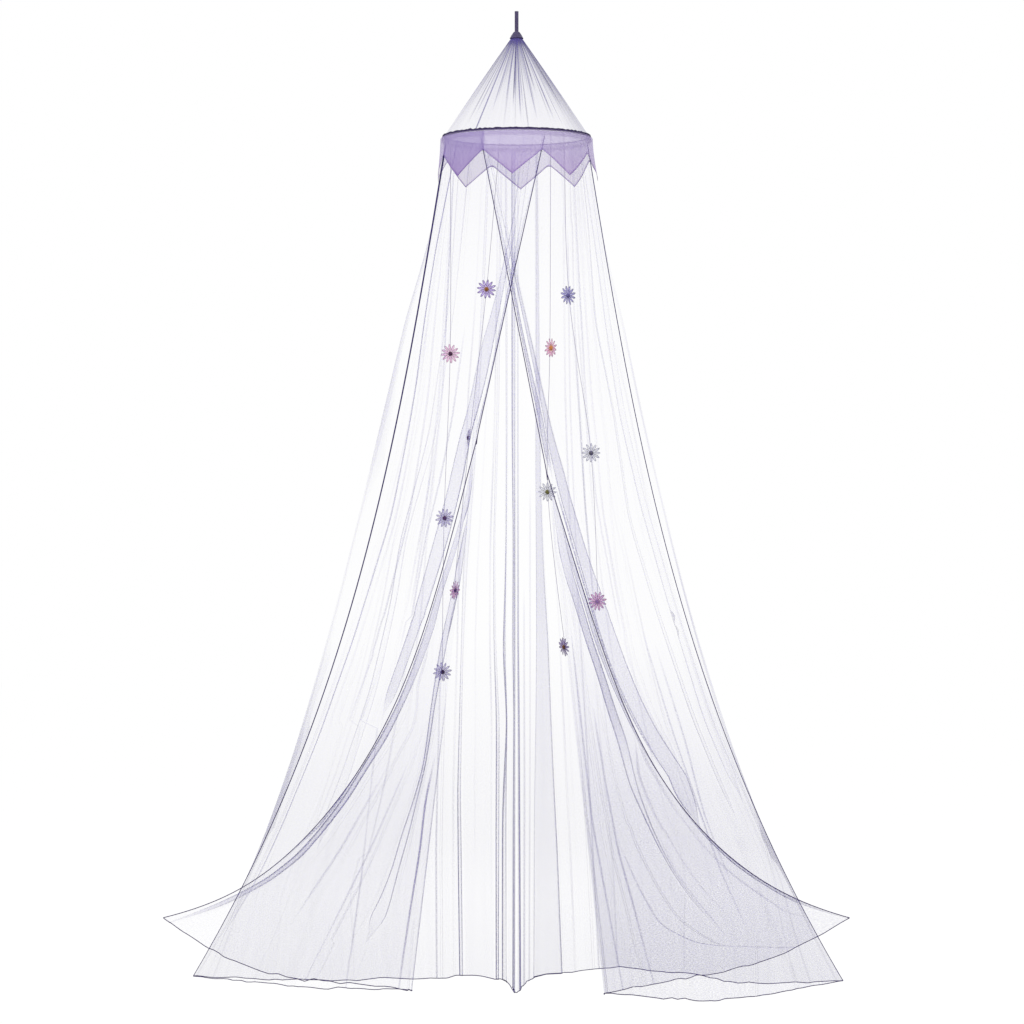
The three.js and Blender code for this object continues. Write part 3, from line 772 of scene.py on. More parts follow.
def fold_columns(grid, fold, metres):
    """A fold's columns: shares, depths, extra layers, the kept part of the net's layers, presence."""
    first, first_layers, present = find_line(grid, fold["left"])
    second, second_layers, _ = find_line(grid, fold["right"])
    if first.mean() > second.mean():
        first, second = second, first
        first_layers, second_layers = second_layers, first_layers
    present = present[:, None]
    width = np.maximum(second - first, NARROWEST_FOLD)[:, None]
    width = width * np.where(present > PRESENT, 1, ABSENT_SHARE)
    pixel = at_share(grid, "per_pixel", (first + second) / 2)[:, None]
    near, far = (np.minimum(pixels * pixel, share * width) for pixels, share in NEAR_TURN)
    once = np.hstack([0 * width, near, far, width / 2, width - far, width - near, width])
    across = np.hstack([once, once[:, -2::-1], once[:, 1:]])
    count = across.shape[1]
    number = np.arange(count)
    full = np.minimum(width * metres[:, None] / FULL_DEPTH_WIDTH, 1)
    depth = FOLD_DEPTH * full * np.sin(TURN_ANGLES) * present
    layers = np.where(number < count // 2, second_layers[:, None], first_layers[:, None])
    layers = layers / 2 * LINE_GAIN
    down = at_share(grid, "y", first)
    ended = smoothstep(-FILL_FADE, 0, down - fold.get("fill_end", grid["y"].max() * 2))
    ended = np.maximum(ended, smoothstep(-FILL_FADE, 0, fold.get("fill_start", 0) - down))
    fill = fold["fill"] / 2 * np.minimum(FILL_PIXELS * pixel / width, 1) * (1 - ended)[:, None]
    across = lerp(width * number / (count - 1), across, present)
    extra = present**2 * (layers * LINE_PROFILE + fill)
    return first[:, None] + across, depth, extra, 1 - present * 2 / 3, present


def crease_columns(grid, share, layers, room):
    """Five columns round a crease: a low ridge, with the layers at its top."""
    offsets = CREASE_OFFSETS[None, :] * (at_share(grid, "per_pixel", share) * room)[:, None]
    ridge = np.minimum(layers[:, None] / 3, 1) * CREASE_PROFILE * CREASE_HEIGHT
    extra = LINE_GAIN * layers[:, None] * CREASE_PROFILE
    return share[:, None] + offsets, ridge, extra, np.ones_like(ridge), room[:, None]


def goes_before(one, other):
    """Whether one block of columns is left of another, in the rows where both are present."""
    both = (np.minimum(one[4], other[4]) > 0.5)[:, 0]
    if not both.any():
        both[:] = True
    return one[0][both].mean() < other[0][both].mean()


def in_order(blocks):
    """The blocks from left to right, moved apart where they meet; an absent one gives way to the others."""
    order = []
    for block in blocks:
        place = next((k for k, other in enumerate(order) if goes_before(block, other)), len(order))
        order.insert(place, block)
    reached = np.zeros(len(blocks[0][0]))
    lows = np.array([block[0].min(axis=1) for block in order])
    there = np.array([block[-1][:, 0] > PRESENT for block in order])
    for k, (share, *others) in enumerate(order):
        later = np.where(there[k + 1:], lows[k + 1:], 1).min(axis=0, initial=1)
        wanted = np.where(there[k], lows[k], np.minimum(lows[k], later))
        order[k] = (share + (np.maximum(wanted, reached) - lows[k])[:, None], *others)
        reached = order[k][0].max(axis=1)
    return order


def faint_creases(grid, start, end, places, draw, strength):
    """Creases at places from 0 to 1 between two columns, each fading in and out on its way down."""
    down = np.linspace(0, 1, len(start))
    gap = np.abs(end - start) / at_share(grid, "per_pixel", (start + end) / 2)
    room = np.clip(gap / (CREASE_PIXELS * (len(places) + 1)), 0, 1)
    blocks = []
    for place in places:
        middle, reach = draw.uniform(0.1, 1.0), draw.uniform(0.15, 0.5)
        window = np.exp(-(((down - middle) / reach) ** 4))
        layers = draw.exponential(strength) * window * (0.7 + 0.3 * np.cos(down * draw.uniform(8, 30)))
        blocks.append(crease_columns(grid, lerp(start, end, place), layers * room, room))
    return blocks


def plain_stretch(grid, start, end, steps, clear, wrinkles, draw):
    """The cloth between two blocks: faint creases at random places, and plain columns clear of them."""
    gap = np.abs(end - start)
    gap_pixels = float(np.median(gap / at_share(grid, "per_pixel", (start + end) / 2)))
    number = int(min(round(wrinkles[0] * float(gap.max())), gap_pixels / CREASE_PIXELS / 2))
    places = (np.arange(number) + draw.uniform(0.2, 0.8, number)) / max(number, 1)
    stretch = faint_creases(grid, start, end, places, draw, wrinkles[1])
    blank = np.zeros((len(start), 1))
    for step in steps:
        if all(abs(step - place) > clear for place in places):
            stretch.append((lerp(start, end, step)[:, None], blank, blank, blank + 1, blank + 1))
    stretch.sort(key=lambda columns: (columns[0] - start[:, None]).mean())
    return stretch


def surface_frame(surface, share, down):
    """The places on a surface, and its unit vectors out of it and across it."""
    low, high = np.clip(share - NORMAL_STEP, 0, 1), np.clip(share + NORMAL_STEP, 0, 1)
    across = surface(high, down) - surface(low, down)
    low, high = np.clip(down - NORMAL_STEP, 0, 1), np.clip(down + NORMAL_STEP, 0, 1)
    along = surface(share, high) - surface(share, low)
    normal = np.cross(across, along)
    normal /= np.maximum(np.linalg.norm(normal, axis=-1, keepdims=True), 1e-12)
    across /= np.maximum(np.linalg.norm(across, axis=-1, keepdims=True), 1e-12)
    return surface(share, down), normal, across


def drawn_together(place, across, length):
    """How much more cloth lies in a column than the width that is seen of it."""
    seen = np.abs((np.diff(place, axis=1) * (across[:, :-1] + across[:, 1:]) / 2).sum(-1))
    total = np.pad(length, ((0, 0), (1, 1)))
    shown = np.pad(seen, ((0, 0), (1, 1)))
    return (total[:, :-1] + total[:, 1:]) / np.maximum(shown[:, :-1] + shown[:, 1:], 1e-5)


def paired(across, along):
    """Two grids of values as one grid of pairs."""
    return np.stack(np.broadcast_arrays(across, along), -1)


def folded_cloth(surface, rows, folds, creases, slack, seed, spacing=0.014, wrinkles=(15, 0.8)):
    """Places, gathers and flat position of a cloth with folds, on a grid of rows and columns."""
    draw = np.random.default_rng(seed)
    row_points = surface(np.linspace(0, 1, 60)[None, :], rows[:, None])
    metres = np.linalg.norm(np.diff(row_points, axis=1), axis=-1).sum(axis=1)
    hem_width = metres[-1]
    grid = seen_grid(surface, rows)
    laid = [fold_columns(grid, fold, metres) for fold in folds]
    for crease in creases:
        share, layers, present = find_line(grid, crease)
        room = np.where(present > PRESENT, 1.0, ABSENT_SHARE)
        laid.append(crease_columns(grid, share, layers * present, room))
    laid = in_order(laid)
    starts = [np.zeros(len(rows))] + [columns[0].max(axis=1) for columns in laid]
    ends = [columns[0].min(axis=1) for columns in laid] + [np.maximum(1, starts[-1])]
    blocks = []
    for k, (start, end) in enumerate(zip(starts, ends)):
        width = float(np.abs(end - start).max() * hem_width)
        count = int(np.clip(width / spacing, *STRETCH_COLUMNS))
        steps = np.linspace(0, 1, count + 1)[min(k, 1):count + (k == len(laid))]
        blocks += plain_stretch(grid, start, end, steps, CLEAR_OF_CREASE / count, wrinkles, draw)
        if k < len(laid):
            blocks.append(laid[k])
    widths = [max(part.shape[1] for part in block) for block in blocks]
    share, depth, extra, kept, _ = (
        np.hstack([np.broadcast_to(part, (len(rows), width)) for part, width in zip(parts, widths)])
        for parts in zip(*blocks))
    share = np.clip(share, 0, 1)
    down = np.broadcast_to(rows[:, None], share.shape)
    place, normal, across = surface_frame(surface, share, down)
    place = place + normal * depth[..., None]
    knots = draw.normal(0, HEM_KINK, int(hem_width / HEM_KNOT_SPACING))
    kinks = np.interp(share, np.linspace(0, 1, len(knots)), knots)
    place[..., 2] += kinks * down**40 * np.sin(np.pi * share) ** 0.3
    length = np.linalg.norm(np.diff(place, axis=1), axis=-1)
    ratio = np.clip(drawn_together(place, across, length), 1, GATHERED_MOST)
    pixel_y = pixels_of(place)[1]
    base = np.interp(pixel_y, [s[0] for s in slack], [s[1] for s in slack])
    gathers = lerp(1, ratio, kept**4) * base * kept + extra
    spread = length.max(axis=0)
    cut_across = np.concatenate([[0], np.cumsum(spread)]) * length[-1].sum() / spread.sum()
    cut = paired(cut_across[None, :], run_along(place[:, 0])[:, None])
    return {"places": place, "gathers": gathers, "cut": cut}


print("a fold has", len(TURN_ANGLES), "columns")


# %% Make the cloth's mesh
def make_cloth(name, cloth, material, flip=False, closed=False):
    """A grid with the cut's rows and columns, each vertex moved to where the cloth hangs."""
    places = cloth["places"]
    rows, columns = places.shape[:2]
    deselect()
    bpy.ops.mesh.primitive_grid_add(x_subdivisions=columns - 1, y_subdivisions=rows - 1, size=2)
    piece = bpy.context.object
    piece.name = name
    mesh = piece.data
    flat = vertex_places(mesh)
    column = np.rint((flat[:, 0] + 1) / 2 * (columns - 1)).astype(int)
    row = np.rint((1 - flat[:, 1]) / 2 * (rows - 1)).astype(int)
    mesh.vertices.foreach_set("co", places[row, column].ravel())
    gathers = mesh.attributes.new("gathers", "FLOAT", "POINT")
    gathers.data.foreach_set("value", cloth["gathers"][row, column].astype(np.float32))
    cut = mesh.attributes.new("cut", "FLOAT_VECTOR", "POINT")
    flat_place = np.pad(cloth["cut"][row, column], ((0, 0), (0, 1)))
    cut.data.foreach_set("vector", flat_place.astype(np.float32).ravel())
    mesh.update()
    edit(piece)
    if closed:
        bpy.ops.mesh.remove_doubles(threshold=1e-5)
    if flip:
        bpy.ops.mesh.flip_normals()
    bpy.ops.object.mode_set(mode="OBJECT")
    bpy.ops.object.shade_smooth()
    mesh.materials.append(material)
    return piece


def area_of(piece):
    return sum(face.area for face in piece.data.polygons)


def border_line(name, points, radii, material):
    """Overlocked edging: a fine round line of thread along a border of the cloth."""
    line = make_line(name, points, radii, sides=1)
    select_only(line)
    bpy.ops.object.convert(target="MESH")
    line = bpy.context.object
    line.name = name
    line.data.materials.append(material)
    return line

# %% [markdown]
# ## Back breadths
# Two back breadths meet at the middle of the back. Round that seam the net is bunched, and it falls as
# a dark narrow column; to its right a broad flat fold opens towards the floor. How much net is drawn
# together also changes down the cloth: it is dense at the hoop, stretched thin over the middle, and
# full again at the hem.

# %% Folds of the back breadths
ROWS = np.linspace(0, 1, 121)
FOLDS = {
    "back_left": [
        {"left": [(458, 190, 2), (450, 300, 1), (430, 430, 2), (400, 540, 3), (391, 600, 4),
                  (370, 690, 3), (340, 780, 2), (318, 835, 1)],
         "right": [(466, 190, 2), (455, 300, 1), (436, 430, 1), (406, 540, 2), (397, 600, 2),
                   (377, 690, 1.5), (348, 780, 1), (327, 835, 1)],
         "fill": 0.2},
        {"left": [(486, 190, 1), (480, 330, 1), (470, 480, 1), (463.5, 567, 2), (461, 653, 4),
                  (457.5, 790, 9), (458, 860, 12), (459.5, 982, 12)],
         "right": [(488, 190, 1), (483, 330, 1), (474, 480, 1), (467, 567, 1), (463, 653, 2),
                   (460.5, 790, 4), (461.5, 860, 7), (463, 982, 6)],
         "fill": 1.0},
        {"left": [(500, 190, 1), (497, 400, 1), (493.3, 540, 3), (493.3, 640, 5), (495.5, 720, 8),
                  (495, 820, 10), (495, 985, 14)],
         "right": [(502, 190, 1), (499, 400, 1), (495, 540, 1), (496, 640, 1), (499, 720, 2),
                   (499, 820, 6), (499.5, 985, 12)],
         "fill": 0.8},
        {"left": [(505, 190, 2), (505.5, 300, 2), (505.5, 430, 2), (505, 540, 4), (503, 650, 7),
                  (505.5, 720, 6), (503, 820, 10), (503, 985, 12)],
         "right": [(507, 190, 1), (508, 430, 1), (507.5, 540, 2), (506.5, 650, 3), (508.5, 720, 5),
                   (507.5, 820, 9), (507.5, 985, 14)],
         "fill": 1.2},
        {"left": [(511.5, 190, 5), (511.5, 300, 7), (511.5, 430, 8), (512.5, 540, 9), (511.8, 650, 12),
                  (513, 720, 12), (511.5, 820, 15), (511, 985, 18)],
         "right": [(515.4, 190, 2), (515.4, 350, 2), (515.4, 480, 4), (515.6, 560, 9), (515.7, 640, 8),
                   (515.8, 720, 7), (515.8, 820, 8), (515.8, 985, 10)],
         "fill": 3.0},
    ],
    "back_right": [
        {"left": [(535.5, 190, 1), (536, 480, 1), (536.5, 560, 2), (536.7, 640, 3), (536, 720, 3),
                  (535, 790, 3), (534.5, 850, 4), (534, 970, 5)],
         "right": [(538, 190, 1), (541, 480, 1), (544, 560, 2), (549, 640, 4), (552, 720, 4),
                   (555, 790, 5), (558, 850, 6), (562.5, 970, 7)],
         "fill": 3.0},
        {"left": [(583, 190, 1), (587, 228, 1), (593.6, 321, 2), (612, 414, 2), (627, 518, 2),
                  (655, 610, 2), (690, 715, 3), (716, 780, 2), (731, 813, 1)],
         "right": [(586, 190, 1), (590, 228, 1), (597, 321, 1), (616, 414, 1), (631, 518, 1),
                   (659, 610, 1), (695, 715, 2), (722, 780, 1), (737, 813, 1)],
         "fill": 0.2},
    ],
}
CREASES = {
    "back_left": [
        [(441, 650, 1), (438, 760, 2), (436, 850, 3), (437, 985, 3)],
    ],
    "back_right": [
        [(517.8, 190, 1), (517.8, 480, 2), (518, 640, 5), (518.7, 720, 7), (519.2, 820, 10),
         (520, 985, 14)],
        [(524, 600, 1), (524.5, 800, 2), (524, 985, 3)],
        [(530, 500, 1), (530, 700, 1), (529, 980, 2)],
        [(568, 240, 1), (570, 400, 1), (578, 600, 1), (590, 800, 2), (600, 985, 2)],
    ],
}
SLACK = {
    "back_left": [(190, 0.6), (230, 0.45), (280, 0.2), (600, 0.15), (640, 0.25), (720, 1.0), (790, 1.7),
                  (850, 1.9), (900, 1.95), (970, 2.6)],
    "front_left": [(190, 0.6), (230, 0.45), (300, 0.3), (640, 0.25), (720, 0.5), (800, 0.8), (970, 1.0)],
    "front_right": [(190, 0.6), (230, 0.45), (300, 0.3), (640, 0.3), (720, 0.9), (800, 1.9), (900, 2.6),
                    (970, 3.2)],
    "wing_left": [(430, 0.4), (640, 0.5), (720, 0.7), (800, 1.0), (970, 1.1)],
    "wing_right": [(430, 0.4), (560, 0.6), (640, 0.7), (720, 1.0), (800, 1.9), (900, 2.5), (970, 2.8)],
}
SLACK["back_right"] = SLACK["back_left"]


HEM_RADIUS = 0.00115


def hang(name, rows, seed, flip, **settings):
    """Lay the folds of one breadth or wing, and make its mesh with the border line along its hem."""
    lines = FOLDS[name], CREASES[name], SLACK[name]
    cloth = folded_cloth(surfaces[name], rows, *lines, seed, **settings)
    piece = make_cloth("skirt_" + name, cloth, net_material, flip=flip)
    hem = border_line("hem_" + name, cloth["places"][-1], [HEM_RADIUS], edging_material)
    print(piece.name, cloth["places"].shape[:2], "vertices,", round(area_of(piece), 3), "m2")
    return {"cloth": cloth, "piece": piece, "trims": [hem]}


skirt = {}
for side, seed in (("left", 31), ("right", 32)):
    skirt["back_" + side] = hang("back_" + side, ROWS, seed, side == "right")

# %% [markdown]
# ## Front breadths
# Each front breadth starts at the side seam, runs well past the middle at the hoop, and ends at its
# free edge and then, from a little over a metre under the hook, at the crease where it is folded back.
# Beside the free edge the net is doubled, so a strip a few centimetres wide shows denser, between two
# fine lines.

# %% Folds of the front breadths
FOLDS["front_left"] = [
    {"left": [(446, 190, 6), (434, 250, 5), (423, 320, 5), (414, 390, 5), (405, 440, 4), (389, 518, 4),
              (351, 640, 3), (316, 740, 3), (281, 825, 4), (257, 877, 3), (225, 930, 2)],
     "right": [(449, 190, 2), (437, 250, 2), (426, 320, 2), (417, 390, 2), (408.5, 440, 2), (393, 518, 2),
               (355, 640, 1.5), (319, 740, 1), (284, 825, 1), (260, 877, 1), (228, 930, 1)],
     "fill": 0.8},
    {"left": [(516.6, 191, 3), (512.5, 223, 4), (503.6, 262, 3), (493, 308, 2), (480, 350, 2),
              (468.5, 407, 3), (461, 432, 3.5), (454, 460, 3.5), (445, 499, 4), (430, 551, 4),
              (408, 632, 4), (391, 679, 3), (380, 710, 2)],
     "right": [(521, 191, 1), (517, 223, 2), (508.5, 262, 3), (500, 308, 3), (493, 345, 4), (485, 385, 5),
               (475, 420, 8), (470, 440, 12), (463, 480, 9), (458, 500, 7), (450.5, 530, 6),
               (442, 560, 5), (433, 590, 5), (421, 627, 4), (406, 668, 3), (394, 700, 2), (389, 712, 1)],
     "fill": 2.4, "fill_start": 210},
    {"left": [(525, 191, 2), (520.5, 223, 2), (513, 262, 4), (504, 308, 4), (496, 345, 5), (488, 385, 6),
              (480, 415, 8), (476, 432, 8)],
     "right": [(531.5, 191, 2), (523.5, 223, 3), (515.5, 262, 3), (508.5, 308, 3), (499.5, 345, 3),
               (493, 385, 4), (485.5, 415, 5), (481, 432, 5)],
     "fill": 4.0, "fill_start": 210},
]
FOLDS["front_right"] = [
    {"left": [(491, 190, 2), (501.5, 240, 2), (512, 288, 3), (522.5, 345, 4), (532, 392, 4),
              (541, 432, 4), (551, 470, 5)],
     "right": [(493.5, 190, 2), (504.5, 240, 3), (514.5, 288, 4), (526, 345, 4), (537, 392, 3),
               (546.5, 432, 3), (557, 470, 3)],
     "fill": 4.5, "fill_start": 210},
    {"left": [(495.5, 190, 2), (507, 240, 3), (516.5, 288, 4), (528.5, 345, 3), (540, 400, 3),
              (547, 440, 3), (553, 470, 4), (560.5, 500, 4), (569.5, 530, 5), (578, 560, 5),
              (590, 600, 5), (602, 640, 5), (617, 683, 5), (634.5, 720, 5), (654.5, 755, 6),
              (679, 790, 8), (701, 820, 10)],
     "right": [(499, 190, 1), (511, 240, 1), (520, 288, 2), (533, 345, 4), (545.5, 400, 4),
               (555, 440, 3.5), (564, 470, 3.5), (571.5, 500, 3.5), (580.5, 530, 4), (589, 560, 4),
               (604, 600, 4), (618, 640, 4), (634, 683, 5), (650, 720, 5), (672, 755, 6), (697, 790, 6),
               (710, 820, 4)],
     "fill": 3.4, "fill_start": 210},
    {"left": [(588, 190, 1), (598, 260, 2), (607, 330, 2), (620, 414, 2), (640, 500, 2), (668, 600, 2),
              (705, 720, 3), (735, 790, 2)],
     "right": [(591, 190, 1), (601, 260, 1), (610.5, 330, 1), (624, 414, 1), (644, 500, 1), (673, 600, 1),
               (711, 720, 2), (741, 790, 1)],
     "fill": 0.3},
]
CREASES["front_left"] = [
    [(452, 200, 2), (447, 300, 3), (442, 400, 1), (430, 500, 1), (412, 600, 1)],
    [(463, 340, 1), (452, 420, 2), (440, 480, 2), (420, 560, 2), (402, 640, 1)],
]
CREASES["front_right"] = [
    [(575, 200, 1), (580, 300, 2), (586, 400, 1), (596, 500, 1), (618, 620, 1)],
    [(559.5, 500, 5), (568.5, 530, 5), (577, 560, 5), (589, 600, 6), (601, 640, 6), (616, 683, 6),
     (633.5, 720, 6), (653.5, 755, 4)],
    [(645, 640, 1), (672, 730, 2), (701, 815, 3), (720, 870, 2), (745, 925, 1)],
    [(660, 660, 1), (685, 740, 2), (704, 815, 2), (730, 880, 1)],
]
EDGE_RADII = (0.0012, 0.0013)
SEAM_RADII = {"left": (0.0024, 0.0009), "right": (0.0012, 0.0010)}

for side, seed in (("left", 41), ("right", 42)):
    front = hang("front_" + side, ROWS, seed, side == "right", wrinkles=(12, 0.7))
    places = front["cloth"]["places"]
    top_row = int(np.argmax(places[:, -1, 2] < FOLD_TOP[side][2]))
    front["trims"] += [
        border_line("edge_front_" + side, places[: top_row + 2, -1], EDGE_RADII, edging_material),
        border_line("seam_side_" + side, places[:, 0] + back_gap / 2, SEAM_RADII[side], seam_material)]
    skirt["front_" + side] = front

# %% [markdown]
# ## Wings
# Below the crease the front breadths are folded back over themselves and spread to both sides as wings.
# A wing can be swung over to close the front, so it is a piece of its own that bends at the crease: its
# first few centimetres turn smoothly from the skirt's body to the wing's. Its folds fan out from the
# crease to the hem.

# %% Folds of the wings
WING_ROWS = lerp(0.004, 1, 1 - (1 - np.linspace(0, 1, 111)) ** 1.5)
FOLDS["wing_left"] = [
    {"left": [(472, 460, 6), (465, 500, 8), (457, 530, 9), (447.5, 560, 7), (437.5, 590, 8),
              (426.5, 627, 6), (412, 668, 7), (399, 700, 8), (380, 737, 10), (361, 768, 11),
              (342, 799, 12), (320, 828, 12), (297, 854, 11), (268, 877, 9), (241, 892, 5), (215, 904, 3),
              (178, 917, 1)],
     "right": [(477, 460, 4), (470, 500, 5), (462, 530, 7), (453.5, 560, 4), (443, 590, 7), (435, 627, 4),
               (420, 668, 3), (406, 700, 6), (388, 737, 9), (368, 768, 11), (349, 799, 11),
               (326, 829, 11), (302, 857, 9), (272, 880, 7), (245, 895, 4), (220, 907, 2), (184, 920, 1)],
     "fill": 3.6},
    {"left": [(467, 515, 2), (458, 560, 5), (450, 600, 6), (442, 635, 8), (436, 670, 9), (431.5, 700, 9),
              (427, 735, 12), (423, 765, 14), (413, 800, 9), (401, 835, 9), (391, 870, 9), (379, 900, 7),
              (362, 930, 3)],
     "right": [(472, 515, 2), (464, 560, 4), (456, 600, 6), (449, 635, 7), (442, 670, 8), (436, 700, 9),
               (431, 735, 12), (426, 765, 12), (417.5, 800, 9), (409, 835, 9), (399, 870, 9),
               (390, 905, 7), (378, 940, 3)],
     "fill": 2.4, "fill_end": 840},
]
FOLDS["wing_right"] = [
    {"left": [(551, 493, 2), (556, 530, 4), (559, 560, 4), (570, 590, 6), (585, 640, 8), (597, 675, 8),
              (607, 710, 8), (617, 740, 8), (629, 785, 9), (645, 820, 12), (657, 845, 12), (672, 872, 9),
              (690, 898, 6), (708, 919, 3)],
     "right": [(555, 493, 3), (563, 530, 6), (569, 560, 8), (581, 600, 8), (593, 640, 9), (605, 675, 8),
               (616, 710, 7), (627, 740, 6), (637, 785, 6), (649.5, 820, 9), (661, 846, 8), (676, 874, 6),
               (694, 900, 4), (712, 921, 2)],
     "fill": 4.5, "fill_end": 780},
    {"left": [(552, 500, 6), (561, 530, 6), (569.5, 560, 7), (582.5, 600, 6), (594, 640, 6),
              (610.5, 683, 5), (627.5, 720, 8), (646, 755, 8), (663, 780, 8), (680, 806, 12),
              (696, 826, 15), (709, 841, 15), (732, 863, 13), (756, 880, 10), (785, 898, 6),
              (809, 908, 3), (834, 916, 1)],
     "right": [(556, 500, 5), (565, 530, 5), (574, 560, 5), (586.5, 600, 5), (598, 640, 6),
               (613.5, 683, 6), (631, 720, 6), (650.5, 755, 6), (668, 780, 7), (684.5, 804, 9),
               (699, 822, 12), (712, 838, 12), (735, 860, 10), (759, 877, 7), (788, 895, 4),
               (812, 906, 2), (837, 914, 1)],
     "fill": 4.0},
]
CREASES["wing_left"] = [
    [(388, 730, 3), (368, 762, 5), (346, 795, 6), (322, 824, 4), (290, 850, 3)],
    [(432, 770, 3), (425.5, 800, 8), (420, 850, 8), (411, 905, 6), (404, 950, 4), (400, 980, 2)],
    [(446, 700, 2), (440, 770, 4), (431, 850, 5), (424, 920, 5), (418, 985, 4)],
    [(405, 770, 1), (370, 850, 2), (345, 900, 2), (325, 940, 1)],
    [(380, 780, 1), (340, 850, 2), (300, 910, 1)],
]
CREASES["wing_right"] = [
    [(572, 640, 2), (583, 740, 3), (592, 820, 3), (603, 880, 3), (614, 940, 2)],
    [(595, 720, 2), (605, 780, 2), (618, 850, 3), (632, 900, 3), (645, 950, 2)],
    [(622, 850, 1), (640, 890, 2), (660, 925, 2), (700, 945, 3), (742, 946, 2)],
    [(665, 850, 1), (685, 890, 1), (715, 930, 2)],
]
for side, seed in (("left", 51), ("right", 52)):
    wing = hang("wing_" + side, WING_ROWS, seed, side == "left", spacing=0.012, wrinkles=(18, 0.7))
    free_edge = wing["cloth"]["places"][:, -1]
    wing["trims"].append(border_line("edge_wing_" + side, free_edge, EDGE_RADII[::-1], edging_material))
    skirt["wing_" + side] = wing


NODES = {"back": "net_back_", "front": "net_front_", "wing": "flap_"}

for name, made in skirt.items():
    part, side = name.split("_")
    piece, cloth, trims = made["piece"], made["cloth"], made["trims"]
    crease = FOLD_FOOT[side] - FOLD_TOP[side]
    sideways = np.array([OUTWARD[side], 0, 0], float)
    sideways -= crease * (sideways @ crease) / (crease @ crease)
    for each in (piece, *trims):
        if part == "wing":
            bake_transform(each)
        else:
            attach(each, "canopy")
    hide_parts(NODES[part] + side)
    flat = float(cloth["cut"][..., 0].max()), float(cloth["cut"][..., 1].max())
    print(piece.name, "flat", [round(f, 3) for f in flat], "m")

# %% [markdown]
# ## Roof net
# The roof is a cone of net, gathered and stitched to a small disc at the top and sewn flat to the
# casing at its foot. The same width of cloth goes round the disc as round the hoop, so it gets denser
# towards the top, and its gathers run down as fine rays. It is one ring of cloth: its last column is
# welded to its first.

# %% Roof net
ROOF_TOP_RADIUS, ROOF_TOP_Z = 0.0133, -0.0678
ROOF_FOOT_RADIUS, ROOF_FOOT_Z = 0.191, -0.3282
ROOF_GATHERS = 20
ROOF_GATHER_DEPTH = 0.0024
ROOF_BAND_SHARE = 0.09
RAY_WIDTH = 0.0013
RAY_MIDDLE_PIXEL, RAY_HALF_PIXELS = 516.2, 45.5
ROOF_RAYS = [(477, 5, 0.75), (481, 4, 0.65), (486, 5, 0.8), (491, 14, 1.2), (498, 9, 0.75), (502.5, 4, 0.5),
             (507, 7, 0.7), (511, 3, 0.4), (514, 6, 0.65), (518.7, 9, 0.8), (521, 5, 0.75), (526, 4, 0.5),
             (530, 10, 0.85), (536, 4, 0.5), (541.6, 8, 0.85), (546, 9, 0.9), (551, 6, 0.8), (556, 6, 0.9)]
MORE_RAYS = 70
RAY_GAIN = 2.2
BAND_LAYERS = 12

ray_draw = np.random.default_rng(7)
rays = []
for x, strength, end in ROOF_RAYS:
    rays.append((math.asin((x - RAY_MIDDLE_PIXEL) / RAY_HALF_PIXELS), strength, end))
for angle in ray_draw.uniform(-math.pi, math.pi, MORE_RAYS):
    rays.append((angle, ray_draw.exponential(3.5), ray_draw.uniform(0.3, 0.9)))


def ring_angles(count, marks, width):
    """Angles all the way round, with three more columns at each mark."""
    extra = [mark + step for mark in marks for step in (-width, 0, width)]
    return np.unique(np.round(np.concatenate([np.linspace(-math.pi, math.pi, count), extra]), 6))


def roof_cloth():
    """The cone, with even gathers, a dense band at the disc, the rays, and more net towards both sides."""
    angles = ring_angles(481, [ray[0] for ray in rays], RAY_WIDTH / ROOF_FOOT_RADIUS)
    v = (np.linspace(0, 1, 49) ** 1.4)[:, None]
    a = angles[None, :]
    depth = ROOF_GATHER_DEPTH * np.sin(np.pi * v)
    radius = lerp(ROOF_TOP_RADIUS, ROOF_FOOT_RADIUS, v) + depth * (
        0.7 * np.cos(ROOF_GATHERS * a) + 0.3 * np.cos(47 * a + 1.3) * np.cos(3 * a))
    places = round_axis(radius, a, lerp(ROOF_TOP_Z, ROOF_FOOT_Z, v))
    uneven = 1 + 0.45 * np.cos(23 * a + 0.7) * np.cos(5 * a + 1.9) * (1 - smoothstep(0.3, 0.7, v))
    layers = (ROOF_FOOT_RADIUS / radius) ** 1.1 * uneven
    layers = layers + BAND_LAYERS * (1 - smoothstep(0.03, ROOF_BAND_SHARE, v))
    for angle, strength, end in rays:
        off = (a - angle) * radius / (RAY_WIDTH * (0.6 + 0.6 * v))
        fade = 1 - smoothstep(end - 0.25, end + 0.1, v) if end < 1 else 1
        layers = layers + RAY_GAIN * strength * np.exp(-off**2) * fade
    bunch = smoothstep(0.72, 0.97, np.sin(a)) * 5.5 + smoothstep(0.80, 0.98, -np.sin(a)) * 2
    layers = layers + bunch * (1 - 0.45 * v)
    cut = paired(a * ROOF_FOOT_RADIUS, v * (ROOF_TOP_Z - ROOF_FOOT_Z))
    return {"places": places, "gathers": layers, "cut": cut}


roof_material = veil_material(
    "roof_net", colours=[(0.17, 0.13, 0.50), (0.20, 0.15, 0.60)], heights=(-0.07, -0.33),
    fold_shade_colour=(0.09, 0.07, 0.30), one_layer=0.05, wrinkles=0.35, grain=0.5)
roof = make_cloth("roof_veil", roof_cloth(), roof_material, closed=True)
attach(roof, "canopy")
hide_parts("roof_net")

# %% [markdown]
# ## Casing of the hoop
# A sleeve of purple voile is drawn over the hoop and sewn to the roof net along its top, where the
# overlocked seam stands up as a dark bumpy line. The sleeve is slack, so it puckers. Its wall gets its
# thickness from a Solidify modifier, and on the inside it stays open along the slit that the hoop goes
# in by.

